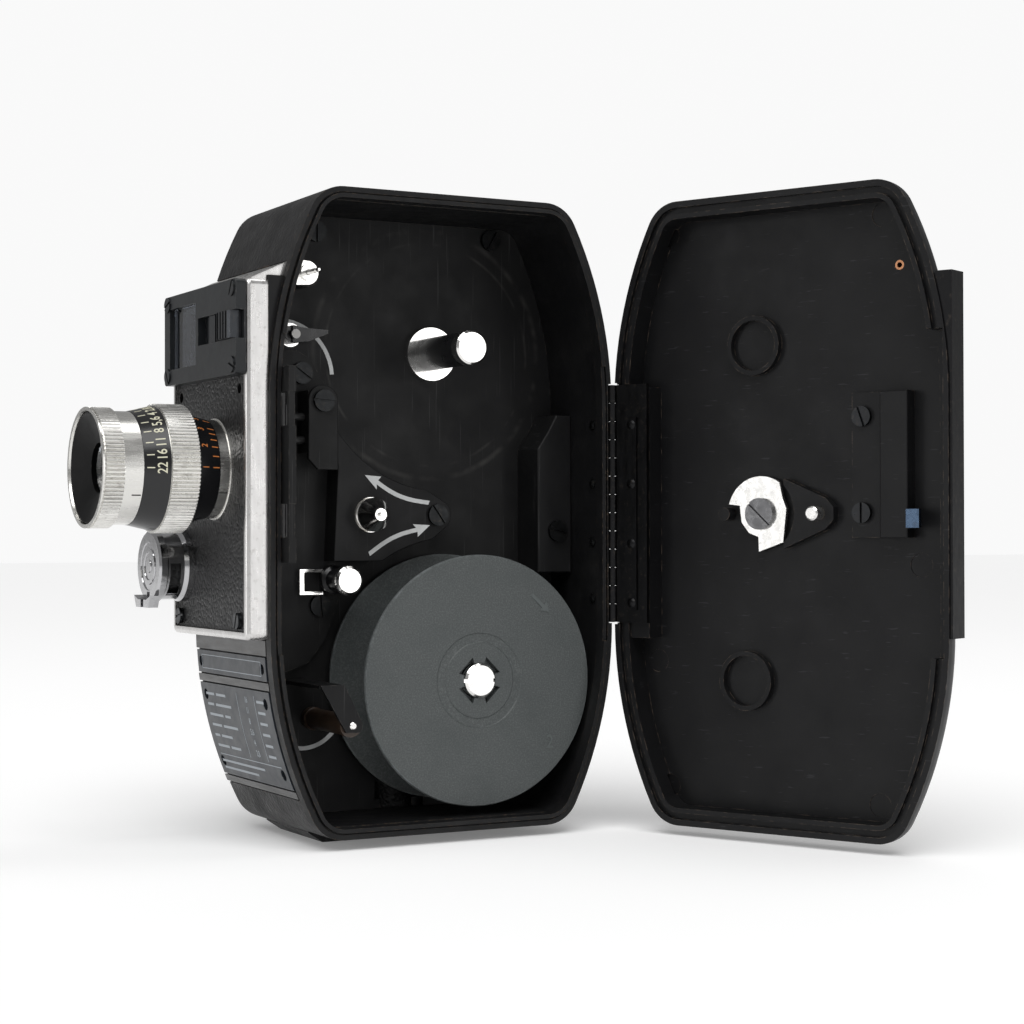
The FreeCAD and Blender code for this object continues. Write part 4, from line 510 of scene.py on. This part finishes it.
def table_marks(y_low, y_high):
    """Generic ruled table in place of the printed one: shares of its width, heights in mm."""
    width = y_high - y_low
    marks = []
    for row, (words, stop) in enumerate(zip(WORDS, STOPS)):
        z = TABLE_TOP - row * TABLE_STEP
        for start, end in (words[:2], words[2:]):
            middle = y_high - width * (start + end) / 2
            marks.append((*bar(width * (end - start), DASH), (middle, z)))
        marks.append((*glyphs(stop, 1.15), (y_high - width * 0.66, z)))
        marks.append((*bar(width * 0.1, DASH), (y_high - width * 0.86, z)))
    for share in (0.53, 0.78):
        marks.append((*upright(RULE, 12.4, 12), (y_high - width * share, 22.2)))
    for z, share, thick in ((15.4, 0.88, 0.16), (14.1, 0.62, 0.45), (12.7, 0.5, 0.45)):
        marks.append((*bar(width * share, thick), (y_high - width * (0.06 + share / 2), z)))
    return marks


def border_marks(y_low, y_high):
    """Thin border of the blank name plate."""
    middle, width = (y_low + y_high) / 2, (y_high - y_low) * 0.86
    return [(*bar(width, RULE), (middle, z)) for z in (32.4, 35.0)] + [
        (*upright(RULE, 2.6, 3), (middle + side * width / 2, 33.7)) for side in (-1, 1)]


plates = surface("label_plates")
plate_y = [corner[1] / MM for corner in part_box("label_plates")]
pale = ink("pale_ink", (0.30, 0.33, 0.36))
on_plates = on_front(plates, sum(plate_y) / 2)
raised("table_lines", table_marks(*plate_y), on_plates, 0.03, pale, "case")
raised("plate_border", border_marks(*plate_y), on_plates, 0.03, pale, "case")


def spool_marks():
    """Moulded arrow and number on the spool's outer flange."""
    x, _, z = TAKEUP
    tilt = math.radians(-42)
    arrow = [(-2.6, -0.35), (0.8, -0.35), (0.8, 0.35), (-2.6, 0.35),
             (0.8, -1.1), (2.6, 0), (0.8, 1.1)]
    turned = [(u * math.cos(tilt) - v * math.sin(tilt), u * math.sin(tilt) + v * math.cos(tilt))
              for u, v in arrow]
    return [(turned, [(0, 1, 2, 3), (4, 5, 6)], (x + 13.4, z + 14.6)),
            (*glyphs("2", 2.6), (x + 15.4, z - 12.6))]


def on_spool(tree):
    """Place marks on the spool's outer face; spot is (x, z)."""
    def place(u, v, w, spot):
        start = Vector((spot[0] * MM, -0.1, spot[1] * MM))
        hit = tree.ray_cast(start, Vector((0, 1, 0)), 0.2)[0]
        return (spot[0] + u, hit.y / MM - w, spot[1] + v)
    return place


raised("spool_marks", spool_marks(), on_spool(surface("takeup_spool")), 0.12,
       ink("spool_relief", (0.085, 0.096, 0.096), 0.5), "spool")


# ---- stage ----------------------------------------------------------------------------

def floor():
    """Plain pale floor, lifted a little towards white by its own glow."""
    bpy.ops.mesh.primitive_plane_add(size=8.0, location=(0, 0, 0))
    plane = bpy.context.object
    plane.name = "floor"
    look = Look("floor_pale", (0.93, 0.93, 0.93), 0.9, spec=0.1)
    look.tint(look.span(look.noise(400, 2), 0.4, 0.9, 0.0, 0.2), (0.90, 0.90, 0.90))
    look.set(look.shader, {"Emission Color": (1, 1, 1, 1), "Emission Strength": 0.16})
    plane.data.materials.append(look.material)


def area_light(name, spot, aim, size, power):
    """Rectangular softbox at spot, facing aim."""
    data = bpy.data.lights.new(name, "AREA")
    data.shape = "RECTANGLE"
    data.size, data.size_y = size
    data.energy = power
    lamp = bpy.data.objects.new(name, data)
    bpy.context.scene.collection.objects.link(lamp)
    lamp.location = spot
    lamp.rotation_euler = (Vector(aim) - Vector(spot)).to_track_quat("-Z", "Y").to_euler()


def set_world():
    """White backdrop to the camera, and a weaker even light on the object."""
    world = bpy.data.worlds.new("studio")
    bpy.context.scene.world = world
    world.use_nodes = True
    tree = world.node_tree
    back = tree.nodes["Background"]
    back.inputs["Color"].default_value = (1, 1, 1, 1)
    seen = tree.nodes.new("ShaderNodeLightPath").outputs["Is Camera Ray"]
    level = tree.nodes.new("ShaderNodeMapRange")
    level.inputs["To Min"].default_value = 0.30
    level.inputs["To Max"].default_value = 0.95
    tree.links.new(seen, level.inputs["Value"])
    tree.links.new(level.outputs[0], back.inputs["Strength"])


def set_stage():
    """Floor, backdrop, one very soft sun and three small softboxes."""
    floor()
    set_world()
    sun = bpy.data.lights.new("sun", "SUN")
    sun.energy = 2.0
    sun.angle = math.radians(50)
    lamp = bpy.data.objects.new("sun", sun)
    bpy.context.scene.collection.objects.link(lamp)
    lamp.rotation_euler = Vector((0.4, 0.6, -1)).to_track_quat("-Z", "Y").to_euler()
    area_light("front_box", (0.42, -0.77, 0.14), (0, 0, 0.06), (0.3, 0.5), 0.9)
    area_light("top_box", (0.25, -0.05, 0.9), (0, 0, 0.06), (0.3, 0.3), 0.9)
    area_light("door_box", (-0.9, 0.25, 0.14), (0.03, 0.02, 0.06), (0.45, 0.45), 1.3)


def set_camera():
    """Long lens at chamber height, turned a little towards the lens side."""
    data = bpy.data.cameras.new("view")
    data.sensor_width = 36.0
    data.lens = 75.05
    data.shift_x, data.shift_y = -0.0233, 0.0012
    data.clip_start = 0.01
    camera = bpy.data.objects.new("view", data)
    bpy.context.scene.collection.objects.link(camera)
    right = Vector((0.87618, -0.48197, -0.00213))
    up = Vector((-0.00277, -0.00944, 0.99995))
    forward = Vector((0.48197, 0.87614, 0.00961))
    turn = Matrix((right, up, -forward)).transposed().to_4x4()
    camera.matrix_world = Matrix.Translation((-0.18033, -0.38967, 0.05846)) @ turn
    bpy.context.scene.camera = camera
    bpy.context.scene.view_settings.view_transform = "Standard"


set_stage()
set_camera()
